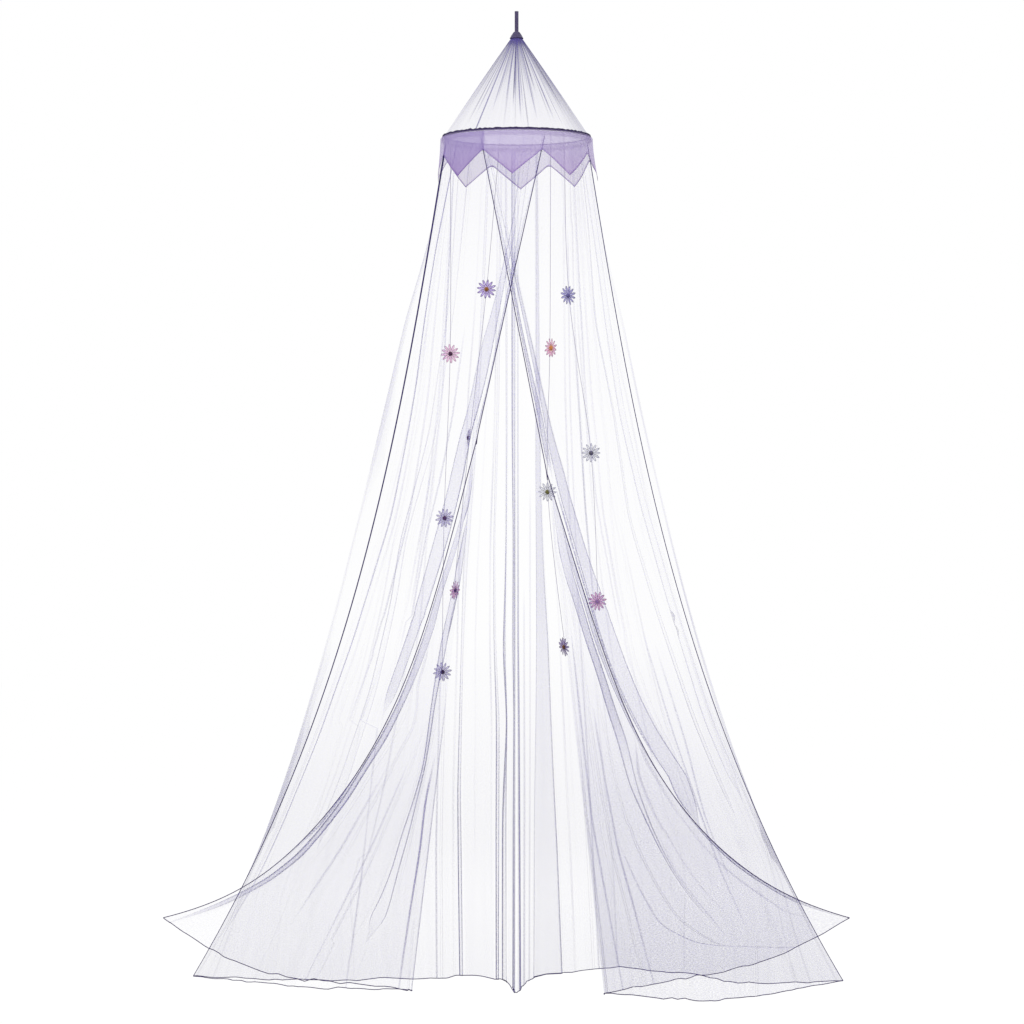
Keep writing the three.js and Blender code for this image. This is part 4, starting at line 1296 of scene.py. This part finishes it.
# %% Casing cloth
CASING_HALF_WIDTH = 0.0086
CASING_HALF_HEIGHT = 0.0095
CASING_WALL = 0.0011
SLIT_HALF_ANGLE = 0.16
PUCKER = 0.0008
SEAM_ALLOWANCE_LAYERS = (14, 2)


def casing_cloth():
    """The sleeve's section turned round the hoop, open along the slit, with puckers on its outside."""
    a = np.linspace(-math.pi, math.pi, 481)[None, :]
    turn = np.linspace(math.pi - SLIT_HALF_ANGLE, SLIT_HALF_ANGLE - math.pi, 25)[:, None]
    pucker = 0.5 + 0.25 * np.cos(83 * a) * np.cos(2 * a + 0.4)
    pucker = pucker + 0.25 * np.cos(57 * a + 0.9) * np.cos(3 * a)
    slack = PUCKER * pucker * np.cos(turn / 2) ** 2
    half_width = CASING_HALF_WIDTH - CASING_WALL / 2 - slack
    half_height = CASING_HALF_HEIGHT - CASING_WALL / 2
    radius = HOOP_RADIUS + half_width * np.cos(turn)
    places = round_axis(radius, a, HOOP_Z + half_height * np.sin(turn))
    cut = paired(a * HOOP_RADIUS, turn * CASING_HALF_HEIGHT)
    seam_allowance = smoothstep(0.55, 0.95, np.sin(turn)) * lerp(*SEAM_ALLOWANCE_LAYERS, behind_axis(a))
    return {"places": places, "gathers": 0.6 + pucker + seam_allowance, "cut": cut}


# Painted shade: the sleeve's tone is darker at its top than at its foot.
casing_material = veil_material(
    "casing_cloth", colours=[(0.62, 0.50, 0.85), (0.80, 0.72, 0.95)], heights=(-0.33, -0.345),
    fold_shade_colour=(0.10, 0.065, 0.22), one_layer=0.10, wrinkles=0.04, grain=0.1)
casing = make_cloth("casing_sleeve", casing_cloth(), casing_material, closed=True)
apply_modifier(casing, "SOLIDIFY", thickness=CASING_WALL, offset=0)


# %% Overlocked seam along the top of the casing
OVERLOCK_RADIUS = 0.1935
OVERLOCK_Z = HOOP_Z + CASING_HALF_HEIGHT + 0.0008
OVERLOCK_THICKNESS = 0.0019
OVERLOCK_BUMP = 0.0010


def bumpy_ring(name, radius, z, thickness, bump, material, seed, count=360):
    """A closed ring of thread whose height and thickness wander a little, less so behind."""
    draw = np.random.default_rng(seed)
    waves = [(draw.integers(20, 90), draw.uniform(0, 6.3), draw.uniform(0.3, 1)) for _ in range(9)]
    a = np.linspace(0, 2 * math.pi, count, endpoint=False)
    wander = sum(size * np.cos(k * a + phase) for k, phase, size in waves) / 3
    deselect()
    bpy.ops.mesh.primitive_torus_add(
        major_radius=radius, minor_radius=thickness, major_segments=count, minor_segments=8,
        location=(0, 0, z))
    ring = bpy.context.object
    ring.name = name
    bpy.ops.object.transform_apply(location=True)
    places = vertex_places(ring.data)
    angle = np.arctan2(places[:, 1], places[:, 0]) % (2 * math.pi)
    lift = np.interp(angle, np.append(a, 2 * math.pi), np.append(wander, wander[0]))
    near = lerp(1, 0.45, smoothstep(-0.2, 0.3, np.sin(angle)))
    places[:, 2] = z + (places[:, 2] - z) * (1 + 0.35 * lift) * near + bump * lift * near
    ring.data.vertices.foreach_set("co", places.ravel())
    ring.data.update()
    bpy.ops.object.shade_smooth()
    ring.data.materials.append(material)
    return ring


overlock_material = yarn_material("overlock_thread", (0.05, 0.036, 0.11), twist=700)
overlock = bumpy_ring("casing_overlock", OVERLOCK_RADIUS, OVERLOCK_Z, OVERLOCK_THICKNESS, OVERLOCK_BUMP,
                      overlock_material, seed=11)
for piece in (casing, overlock):
    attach(piece, "canopy")
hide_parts("hoop_casing")

# %% [markdown]
# ## Valance
# Eight pointed panels of lilac voile hang from the casing all the way round. The near side lets a good
# third of the light through and the far side about two thirds, so the far one shows through the near
# one. The frill's zigzag edge is turned up and stitched, and the panels are joined by a seam above each
# valley: both are two layers of cloth, and that is how they are made here, as a strip that turns back
# up inside the edge, and as more layers along the seams. The frill's two ends overlap by one panel, on
# the left of the front, which shows darker there.

# %% Valance cloth
VALANCE_RADIUS = 0.2004
VALANCE_RISE = 0.003
VALANCE_TOP_Z = HOOP_Z + VALANCE_RISE
VALANCE_POINTS = 8
VALANCE_VALLEY = 0.035
VALANCE_TIP = 0.099
VALANCE_FLARE = {-1: 0.008, 1: 0.015}
VALANCE_PHASE = math.radians(-3.2)
VALANCE_WAVE = 0.0012
PANEL_COLUMNS = 28
TURN_UP = 0.0052
TURN_UP_BEND = 0.0004
TURN_UP_INSET = 0.0007
EDGE_LINE = 0.0007
EDGE_LAYERS = 2.0
SEAM_WIDTH = 0.0016
SEAM_SHARE = 0.3
FRONT_LAYERS, BACK_LAYERS = 1.77, 0.79
DOUBLED_PANEL = (math.radians(-70.7), math.radians(-25.7))
DOUBLED_SHARE = 0.7
DOUBLED_EASE = 0.02
VALLEY_ROUND = 0.14


def valance_cloth():
    """The ring of panels, with the turned-up edge as its last rows."""
    a = np.linspace(0, 2 * math.pi, VALANCE_POINTS * PANEL_COLUMNS + 1) + VALANCE_PHASE - math.pi
    across = ((a - VALANCE_PHASE) / (2 * math.pi) * VALANCE_POINTS + 2 * VALANCE_POINTS) % 1
    towards_tip = 1 - 2 * np.minimum(across, 1 - across)
    rounded = np.maximum(towards_tip, VALLEY_ROUND / 2 + towards_tip**2 / VALLEY_ROUND / 2)
    behind = behind_axis(a)
    towards_tip = np.where(towards_tip < VALLEY_ROUND, lerp(towards_tip, rounded, behind), towards_tip)
    foot = lerp(VALANCE_VALLEY, VALANCE_TIP, towards_tip) + CASING_HALF_HEIGHT + VALANCE_RISE
    turned = [foot - TURN_UP, foot - TURN_UP / 2, foot - TURN_UP_BEND]
    fall = np.linspace(0, 1, 17)[:-1, None] * (foot - TURN_UP)[None, :]
    down = np.concatenate([fall, turned, [foot], turned[::-1]])
    inside = np.zeros(down.shape[0])
    inside[-len(turned):] = TURN_UP_INSET
    flare = np.where(np.sin(a) < 0, VALANCE_FLARE[-1], VALANCE_FLARE[1]) * np.sin(a) ** 2
    wave = VALANCE_WAVE * np.cos(3 * VALANCE_POINTS * a + 0.8) * np.cos(a * 2)
    share = down / foot.max()
    radius = VALANCE_RADIUS + flare * share**1.5 + wave * share - inside[:, None]
    places = round_axis(radius, a, VALANCE_TOP_Z - down)
    from_seam = np.abs(across - 0.5) * 2 * math.pi * VALANCE_RADIUS / VALANCE_POINTS
    layers = lerp(FRONT_LAYERS, BACK_LAYERS, behind)
    layers = layers * (1 + SEAM_SHARE * np.exp(-((from_seam / SEAM_WIDTH) ** 2))[None, :])
    start, end = DOUBLED_PANEL
    doubled = smoothstep(start, start + DOUBLED_EASE, a) * (1 - smoothstep(end, end + DOUBLED_EASE, a))
    layers = layers * (1 + DOUBLED_SHARE * doubled)
    layers = layers + (down > (foot - EDGE_LINE)) * EDGE_LAYERS
    return {"places": places, "gathers": layers, "cut": paired(a * VALANCE_RADIUS, down)}


valance_material = veil_material(
    "valance_cloth", colours=[(0.58, 0.465, 0.83), (0.51, 0.335, 0.72)], heights=(-0.36, -0.44),
    fold_shade_colour=(0.17, 0.10, 0.42), one_layer=0.42, wrinkles=0.07, grain=0.12)
valance = make_cloth("valance_frill", valance_cloth(), valance_material, closed=True)
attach(valance, "canopy")
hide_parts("valance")

# %% [markdown]
# ## Cap and tape loop
# A short cone of dark cloth hides the gathers at the disc. It is cut from one piece and drawn in at the
# top round the tape, so it has soft pleats. The loop is one band of woven tape: it goes up, round the
# ceiling hook, and down again, and its two ends are stitched together under the cap.

# %% Cap
CAP_TOP_Z, CAP_FOOT_Z = -0.0530, -0.0700
CAP_TOP_RADIUS, CAP_FOOT_RADIUS = 0.0066, 0.0172
CAP_WALL = 0.0011
CAP_PLEATS = 9
CAP_PLEAT_DEPTH = 0.0011
CAP_PLEAT_DROP = 0.0009
CAP_HEM_THICKNESS, CAP_HEM_BUMP = 0.0009, 0.0003


def cap_cloth():
    """The cone, with soft pleats that end in a slightly uneven hem."""
    a = np.linspace(-math.pi, math.pi, 145)[None, :]
    v = np.linspace(0, 1, 17)[:, None]
    pleat = 0.5 + 0.35 * np.cos(CAP_PLEATS * a + 0.6) + 0.15 * np.cos(2 * CAP_PLEATS * a + 2)
    radius = lerp(CAP_TOP_RADIUS, CAP_FOOT_RADIUS, v**0.85)
    radius = radius + CAP_PLEAT_DEPTH * (pleat - 0.5) * np.sin(np.pi * v * 0.75)
    places = round_axis(radius, a, lerp(CAP_TOP_Z, CAP_FOOT_Z, v) - CAP_PLEAT_DROP * (pleat - 0.5) * v)
    cut = paired(a * CAP_FOOT_RADIUS, v * (CAP_TOP_Z - CAP_FOOT_Z))
    return {"places": places, "gathers": pleat + 0 * v, "cut": cut}


def woven_material(name, dark, light, thread_count, mottle_share=0.25):
    """A close plain weave: warp and weft ribs with painted shade between the threads, a little mottling and
    a soft sheen.
    """
    material, tree, add = node_material(name)
    waves = []
    for direction in ("X", "Y"):
        wave = add("ShaderNodeTexWave", bands_direction=direction)
        wave.inputs["Scale"].default_value = 1.0
        tree.links.new(scaled_cut(tree, thread_count, thread_count), wave.inputs["Vector"])
        waves.append(wave.outputs["Fac"])
    ribs = link_math(tree, "MULTIPLY", *waves)
    mottle = noise_factor(tree, scaled_cut(tree, 160, 160), 3, 0.0, 1.0)
    share = link_math(tree, "MULTIPLY", ribs, 1 - mottle_share)
    share = link_math(tree, "ADD", share, link_math(tree, "MULTIPLY", mottle, mottle_share))
    # Painted shade: the tone is darkest where the ribs are low, between the threads.
    tone = tint(tree, share, (*dark, 1), (*light, 1))
    normal = bump_from(tree, ribs, 0.5, 0.0003)
    finish_surface(tree, {"Roughness": 0.8, "Sheen Weight": 0.2}, tone, normal=normal)
    return material


cap_material = woven_material("cap_cloth", (0.035, 0.026, 0.075), (0.15, 0.12, 0.28), 1300)
cap = make_cloth("cap_cloth", cap_cloth(), cap_material, closed=True)
apply_modifier(cap, "SOLIDIFY", thickness=CAP_WALL, offset=0)
cap_hem = bumpy_ring("cap_hem", CAP_FOOT_RADIUS, CAP_FOOT_Z, CAP_HEM_THICKNESS, CAP_HEM_BUMP,
                     overlock_material, seed=5)
for piece in (cap, cap_hem):
    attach(piece, "canopy")
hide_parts("crown_cap")
print("cap", len(cap.data.vertices), "vertices")

# %% Tape loop
TAPE_WIDTH = 0.010
TAPE_THICKNESS = 0.0022
HOOK_RADIUS = 0.0026
EYE_HALF = HOOK_RADIUS + TAPE_THICKNESS / 2
LOOP_FOOT_Z = -0.066
LEG_POINTS = 22
TAPE_ROUND = 0.0006
TAPE_SECTION = [(-1, 1), (-0.6, 1), (0, 1), (0.6, 1), (1, 1), (1, 0), (1, -1), (0.6, -1), (0, -1),
                (-0.6, -1), (-1, -1), (-1, 0), (-1, 1)]


def tape_path():
    """The middle line of the tape: up one leg, round the hook and down the other."""
    turn = np.linspace(0, math.pi, 17)
    legs = np.linspace(LOOP_FOOT_Z, -HOOK_RADIUS - TAPE_THICKNESS, LEG_POINTS)
    up = paired(EYE_HALF, legs)
    over = np.stack([EYE_HALF * np.cos(turn), -HOOK_RADIUS + EYE_HALF * np.sin(turn)], -1)
    down = paired(-EYE_HALF, legs[::-1])
    return np.vstack([up, over, down])


def tape_cloth():
    """The tape's rounded section, carried along its path."""
    path = tape_path()
    tangent = np.gradient(path, axis=0)
    tangent /= np.linalg.norm(tangent, axis=1, keepdims=True)
    out = np.stack([tangent[:, 1], -tangent[:, 0]], -1)
    section = np.array(TAPE_SECTION, float)
    half = np.array([TAPE_WIDTH / 2, TAPE_THICKNESS / 2])
    corners = np.abs(section).min(axis=1, keepdims=True) == 1
    rounded = section * half - np.where(corners, np.sign(section) * TAPE_ROUND / 2, 0)
    side = path[:, None, :] + out[:, None, :] * rounded[None, :, 1:2]
    places = np.stack(np.broadcast_arrays(rounded[None, :, 0], side[..., 0], side[..., 1]), -1)
    cut = paired(rounded[None, :, 0], run_along(path)[:, None])
    return {"places": places, "gathers": np.ones(cut.shape[:2]), "cut": cut}


tape_material = woven_material("woven_tape", (0.05, 0.038, 0.10), (0.12, 0.095, 0.22), 900)
tape = make_cloth("tape_loop", tape_cloth(), tape_material, closed=True)
edit(tape)
bpy.ops.mesh.fill_holes(sides=16)
bpy.ops.mesh.normals_make_consistent(inside=False)
bpy.ops.object.mode_set(mode="OBJECT")
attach(tape, "canopy")
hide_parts("hanging_loop")
tape_length = float(run_along(tape_path())[-1])
print("tape", round(tape_length, 3), "m long")


# %% Plastic of the hoop, the joiners and the disc
def plastic_material(name, colour, roughness, opacity):
    """Moulded plastic: a faint flow pattern in its colour and a fine drawn grain."""
    material, tree, _ = node_material(name)
    flow = plain_noise(tree, own_place(tree), 60, 4)
    tone = tint(tree, flow, (*[c * 0.9 for c in colour], 1), (*colour, 1))
    normal = bump_from(tree, flow, 0.12, 0.0002)
    finish_surface(tree, {"Roughness": roughness, "Alpha": opacity}, tone, normal=normal)
    return material


PLASTICS = {
    "hoop_tube": ((0.90, 0.88, 0.92), 0.35, 0.22, ["hoop_front", "hoop_back"]),
    "joiner_sleeve": ((0.88, 0.86, 0.90), 0.45, 0.3, ["joiner_left", "joiner_right"]),
    "stiff_disc": ((0.66, 0.63, 0.70), 0.6, 1.0, ["anchor_disc"]),
}
for name, (colour, roughness, opacity, pieces) in PLASTICS.items():
    finish = plastic_material(name, colour, roughness, opacity)
    for piece in pieces:
        nodes[piece].data.materials.clear()
        nodes[piece].data.materials.append(finish)
print("plastics", sorted(PLASTICS))

# %% [markdown]
# ## Daisies
# Each daisy is a ring of twelve printed satin petals on a small bored bead, with a domed felt button in
# front. The thread runs through the bead, and a knot under it carries the flower. One petal is drawn
# from a plane by extruding its end edge, station by station, as one would do by hand; a Subdivision
# Surface rounds it, and it is then copied round the bead, with small differences of length and tilt.
# The finished flower is copied to its twelve places, each copy with its own mesh, and each turned as it
# hangs in the photograph.

# %% One petal
PETAL_STATIONS = [(0.0050, 0.0015), (0.0085, 0.0023), (0.0125, 0.0031), (0.0165, 0.0035), (0.0205, 0.0033),
                  (0.0240, 0.0022), (0.0262, 0.0009)]
PETAL_ROOT = (0.0022, 0.0011)
PETAL_FACE_Y = -0.0028
PETAL_CUP = 0.0009
PETAL_CREASE = 0.0006
PETAL_THICKNESS = 0.0005
PETAL_COUNT = 12
SAME_PLACE = 1e-5


def make_petal():
    """A petal along +X whose face looks towards -Y, drawn by extruding its end edge outwards."""
    deselect()
    radius, half = PETAL_ROOT
    first, first_half = PETAL_STATIONS[0]
    bpy.ops.mesh.primitive_plane_add(size=1, location=((radius + first) / 2, 0, 0))
    petal = bpy.context.object
    mesh = petal.data
    for vertex in mesh.vertices:
        length, width = (1, first_half) if vertex.co.x > 0 else (-1, half)
        vertex.co = ((first - radius) / 2 * length, 0, math.copysign(width, vertex.co.y))
    bpy.ops.object.transform_apply(location=True)
    last = first
    for station, width in PETAL_STATIONS[1:]:
        for vertex in mesh.vertices:
            vertex.select = abs(vertex.co.x - last) < SAME_PLACE
        for edge in mesh.edges:
            edge.select = all(mesh.vertices[i].select for i in edge.vertices)
        before = max(vertex.co.z for vertex in mesh.vertices if vertex.select)
        edit(petal, everything=False)
        bpy.ops.mesh.select_mode(type="EDGE")
        bpy.ops.mesh.extrude_region_move(TRANSFORM_OT_translate={"value": (station - last, 0, 0)})
        bpy.ops.transform.resize(value=(1, 1, width / before), center_override=(station, 0, 0))
        bpy.ops.object.mode_set(mode="OBJECT")
        last = station
    edit(petal)
    bpy.ops.mesh.subdivide(number_cuts=1)
    bpy.ops.object.mode_set(mode="OBJECT")
    for vertex in mesh.vertices:
        share = vertex.co.x / PETAL_STATIONS[-1][0]
        vertex.co.y = PETAL_FACE_Y - PETAL_CUP * math.sin(math.pi * share)
        if abs(vertex.co.z) < SAME_PLACE:
            vertex.co.y += PETAL_CREASE * math.sin(math.pi * min(share * 1.2, 1))
    apply_modifier(petal, "SUBSURF", levels=1, render_levels=1)
    print("petal", len(petal.data.vertices), "vertices")
    return petal


petal = make_petal()

# %% Petal ring with its bead
BEAD_RADIUS, BEAD_HEIGHT, BEAD_BORE = 0.003, 0.008, 0.00115
BEAD_EDGE = 0.0006
petal_draw = np.random.default_rng(3)


def mark_petal(mesh):
    """Keep each point's flat place on the flower, and how far it lies across its petal."""
    local = mesh.attributes.new("local", "FLOAT_VECTOR", "POINT")
    stations = np.array([PETAL_ROOT] + PETAL_STATIONS)
    for vertex, item in zip(mesh.vertices, local.data):
        half = np.interp(vertex.co.x, stations[:, 0], stations[:, 1])
        item.vector = (vertex.co.x, abs(vertex.co.z) / half, 0)


mark_petal(petal.data)
ring = []
for number in range(PETAL_COUNT):
    copy = bpy.data.objects.new("petal", petal.data.copy())
    bpy.context.scene.collection.objects.link(copy)
    stretch = petal_draw.uniform(0.93, 1.0)
    tilt = petal_draw.uniform(0.10, 0.22)
    nod = petal_draw.uniform(-0.07, 0.05)
    shape = Matrix.Rotation(2 * math.pi * number / PETAL_COUNT, 4, "Y") @ Matrix.Rotation(nod, 4, "Z")
    shape = shape @ Matrix.Translation((0, PETAL_FACE_Y, 0)) @ Matrix.Rotation(tilt, 4, "X")
    shape = shape @ Matrix.Translation((0, -PETAL_FACE_Y, 0)) @ Matrix.Diagonal((stretch, 1, 1, 1))
    copy.data.transform(shape)
    ring.append(copy)
bpy.data.objects.remove(petal)
flower = join(ring)
apply_modifier(flower, "SOLIDIFY", thickness=PETAL_THICKNESS, offset=0)

deselect()
bpy.ops.mesh.primitive_cylinder_add(
    vertices=20, radius=BEAD_RADIUS, depth=BEAD_HEIGHT, end_fill_type="NOTHING")
bead = bpy.context.object
apply_modifier(bead, "SOLIDIFY", thickness=BEAD_RADIUS - BEAD_BORE, offset=-1)
apply_modifier(bead, "BEVEL", width=BEAD_EDGE, segments=2, limit_method="ANGLE")
flower = join([flower, bead])
bpy.ops.object.shade_smooth_by_angle(angle=math.radians(40))
flower.name = "flower_pattern"
print("flower", len(flower.data.vertices), "vertices")

# %% Button of the flower
BUTTON_RADIUS, BUTTON_HEIGHT = 0.0058, 0.0038
BUTTON_BACK_Y = -0.0039
STIPPLE = 5200
STIPPLE_DEPTH = 0.00022
STIPPLE_FREE = 0.001

deselect()
bpy.ops.mesh.primitive_uv_sphere_add(
    segments=28, ring_count=16, radius=BUTTON_RADIUS, rotation=(math.pi / 2, 0, 0))
button = bpy.context.object
bpy.ops.object.transform_apply(rotation=True)
edit(button)
bpy.ops.mesh.bisect(plane_co=(0, 0, 0), plane_no=(0, 1, 0), clear_outer=True, use_fill=True)
bpy.ops.mesh.select_all(action="SELECT")
bpy.ops.transform.resize(value=(1, BUTTON_HEIGHT / BUTTON_RADIUS, 1), center_override=(0, 0, 0))
bpy.ops.transform.translate(value=(0, BUTTON_BACK_Y, 0))
bpy.ops.object.mode_set(mode="OBJECT")
for vertex in button.data.vertices:
    across = math.hypot(vertex.co.x, vertex.co.z)
    if vertex.co.y < BUTTON_BACK_Y - SAME_PLACE:
        swirl = math.atan2(vertex.co.z, vertex.co.x)
        stipple = math.cos(across * STIPPLE + 5 * swirl) * math.cos(across * STIPPLE - 7 * swirl)
        vertex.co.y -= STIPPLE_DEPTH * stipple * min(across / STIPPLE_FREE, 1)
bpy.ops.object.shade_smooth()
button.name = "button_pattern"
print("button", len(button.data.vertices), "vertices")


# %% Petal and felt finishes
def linear(colour):
    """The colour that a shader takes, from an 8-bit display colour whose parts are all over 10."""
    return tuple(((c / 255 + 0.055) / 1.055) ** 2.4 for c in colour)


PETAL_COLOURS = {
    "violet": [(225, 200, 240), (200, 176, 236), (84, 62, 136)],
    "periwinkle": [(184, 178, 230), (176, 170, 224), (92, 84, 140)],
    "pink": [(252, 220, 240), (250, 212, 238), (196, 152, 186)],
    "rose": [(255, 200, 150), (252, 194, 226), (156, 104, 148)],
    "mauve": [(236, 184, 216), (246, 198, 228), (186, 122, 170)],
    "pale": [(240, 240, 248), (236, 236, 244), (180, 180, 200)],
    "lilac": [(232, 226, 246), (222, 216, 242), (164, 156, 196)],
    "plum": [(150, 126, 182), (156, 132, 192), (80, 62, 116)],
}
BUTTON_COLOURS = {
    "amber": (172, 112, 40),
    "orange": (240, 156, 76),
    "wine": (84, 44, 74),
    "ink": (56, 32, 68),
    "grey": (104, 101, 110),
    "olive": (122, 119, 66),
    "mauve": (196, 148, 190),
    "indigo": (116, 108, 168),
    "brown": (122, 76, 42),
}


def petal_material(name, colours):
    """Sheer printed satin: root, middle and tip colours, fine veins, a painted highlight down each petal's
    middle and painted shade at its less sheer edges.
    """
    material, tree, add = node_material("petal_" + name)
    root, middle, tip = (linear(colour) for colour in colours)
    place = add("ShaderNodeAttribute", attribute_name="local")
    split = add("ShaderNodeSeparateXYZ")
    tree.links.new(place.outputs["Vector"], split.inputs[0])
    ramp = add("ShaderNodeValToRGB")
    along = add("ShaderNodeMapRange")
    along.inputs["From Max"].default_value = PETAL_STATIONS[-1][0]
    tree.links.new(split.outputs["X"], along.inputs["Value"])
    tree.links.new(along.outputs[0], ramp.inputs["Fac"])
    stops = ((0.22, root), (0.42, middle), (0.72, middle), (0.97, tip))
    while len(ramp.color_ramp.elements) < len(stops):
        ramp.color_ramp.elements.new(0.5)
    for element, (position, colour) in zip(ramp.color_ramp.elements, stops):
        element.position = position
        element.color = (*colour, 1)
    stretch = add("ShaderNodeMapping")
    stretch.inputs["Scale"].default_value = (60, 5, 60)
    tree.links.new(place.outputs["Vector"], stretch.inputs["Vector"])
    veins = noise_factor(tree, stretch.outputs[0], 3, 0.86, 1.06)
    side = link_math(tree, "POWER", link_math(tree, "ABSOLUTE", split.outputs["Y"], 0.0), 2.0)
    # Painted highlight and shade: each petal is lit up to 1.25 times down its middle and darkened to half at
    # its edges.
    edge = link_math(tree, "SUBTRACT", 1.25, link_math(tree, "MULTIPLY", side, 0.75))
    tone = tint(tree, 1.0, ramp.outputs["Color"], link_math(tree, "MULTIPLY", veins, edge), "MULTIPLY")
    opacity = link_math(tree, "ADD", link_math(tree, "MULTIPLY", side, 0.45), 0.35)
    normal = bump_from(tree, veins, 0.4, 0.0003)
    finish_surface(tree, {"Roughness": 0.55, "Sheen Weight": 0.15}, tone, opacity, normal)
    return material


def felt_material(name, colour):
    """Pressed felt: short fibres as a cell pattern, with painted shade in the hollows."""
    material, tree, add = node_material("felt_" + name)
    cells = add("ShaderNodeTexVoronoi")
    cells.inputs["Scale"].default_value = 900
    tree.links.new(own_place(tree), cells.inputs["Vector"])
    hollow = cells.outputs["Distance"]
    # Painted light and shade: the tops of the cells are painted lighter than the felt's colour and the
    # hollows between them darker.
    light, dark = ((*[c * share for c in linear(colour)], 1) for share in (1.15, 0.55))
    tone = tint(tree, hollow, light, dark)
    normal = bump_from(tree, hollow, 0.8, 0.0004, invert=True)
    finish_surface(tree, {"Roughness": 0.9, "Sheen Weight": 0.2}, tone, normal=normal)
    return material


petal_finishes = {name: petal_material(name, colours) for name, colours in PETAL_COLOURS.items()}
felt_finishes = {name: felt_material(name, colour) for name, colour in BUTTON_COLOURS.items()}
print("flower finishes", len(petal_finishes), "and", len(felt_finishes))

# %% Hang the daisies on their threads
DAISIES = {
    "garland_a": [("03", 10, "pink", "wine"), ("08", 20, "lilac", "wine"), ("12", 15, "lilac", "ink")],
    "garland_b": [("01", 0, "violet", "amber"), ("05", -80, "lilac", "wine"), ("09", 60, "mauve", "wine")],
    "garland_c": [("04", 50, "rose", "orange"), ("07", -20, "pale", "olive"), ("11", -60, "plum", "brown")],
    "garland_d": [("02", -42, "periwinkle", "indigo"), ("06", 5, "pale", "grey"),
                  ("10", -20, "mauve", "mauve")],
}
spins = {joint["name"]: joint for joint in frame["joints"]}
KNOT_DROP = BEAD_HEIGHT / 2 + 0.0023
KNOT_RADIUS, KNOT_STRAND = 0.0011, 0.0006
KNOT_TURNS = ((math.radians(25), 0, 0), (math.radians(70), math.radians(65), 0))


def hang_copy(pattern, name, place, finish, body, node):
    """A copy of the pattern with its own mesh, moved to its place, riding on its flower's body."""
    copy = bpy.data.objects.new(name, pattern.data.copy())
    bpy.context.scene.collection.objects.link(copy)
    copy.data.transform(place)
    copy.data.materials.clear()
    copy.data.materials.append(finish)
    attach(copy, body)
    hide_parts(node)
    return copy


def make_knots(name, places):
    """A thread's knots: each is a short turned loop with the next loop drawn through it."""
    deselect()
    parts = []
    for place in places:
        for turn in KNOT_TURNS:
            bpy.ops.mesh.primitive_torus_add(
                location=place, rotation=turn, major_radius=KNOT_RADIUS, minor_radius=KNOT_STRAND,
                major_segments=14, minor_segments=8)
            parts.append(bpy.context.object)
    knots = join(parts[::-1])
    knots.name = name
    bpy.ops.object.transform_apply(location=True, rotation=True)
    bpy.ops.object.shade_smooth()
    knots.data.materials.append(thread_material)
    return knots


flower_draw = np.random.default_rng(21)
for garland, daisies in DAISIES.items():
    pieces = []
    knot_places = [tuple(routes[garland][0])]
    for number, turn, petals, felt in daisies:
        spin = spins[f"daisy_{number}_spin"]
        at, axis = Vector(spin["pos_m"]), Vector(spin["axis"]).normalized()
        lean = Vector((0, 0, 1)).rotation_difference(axis).to_matrix().to_4x4()
        own_turn = Matrix.Rotation(flower_draw.uniform(0, 0.5), 4, "Y")
        place = Matrix.Translation(at) @ lean @ Matrix.Rotation(math.radians(turn), 4, "Z")
        body = "daisy_" + number
        pieces.append(hang_copy(flower, "petals_" + number, place @ own_turn, petal_finishes[petals],
                                body, "flower_" + number))
        pieces.append(hang_copy(button, "centre_" + number, place, felt_finishes[felt],
                                body, "button_" + number))
        knot_places.append(tuple(at - axis * KNOT_DROP))
    knots = make_knots("knots_" + garland[-1], knot_places)
    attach(knots, garland)
for pattern in (flower, button):
    bpy.data.objects.remove(pattern)

for name, thread in threads.items():
    tuple(routes[name][0])
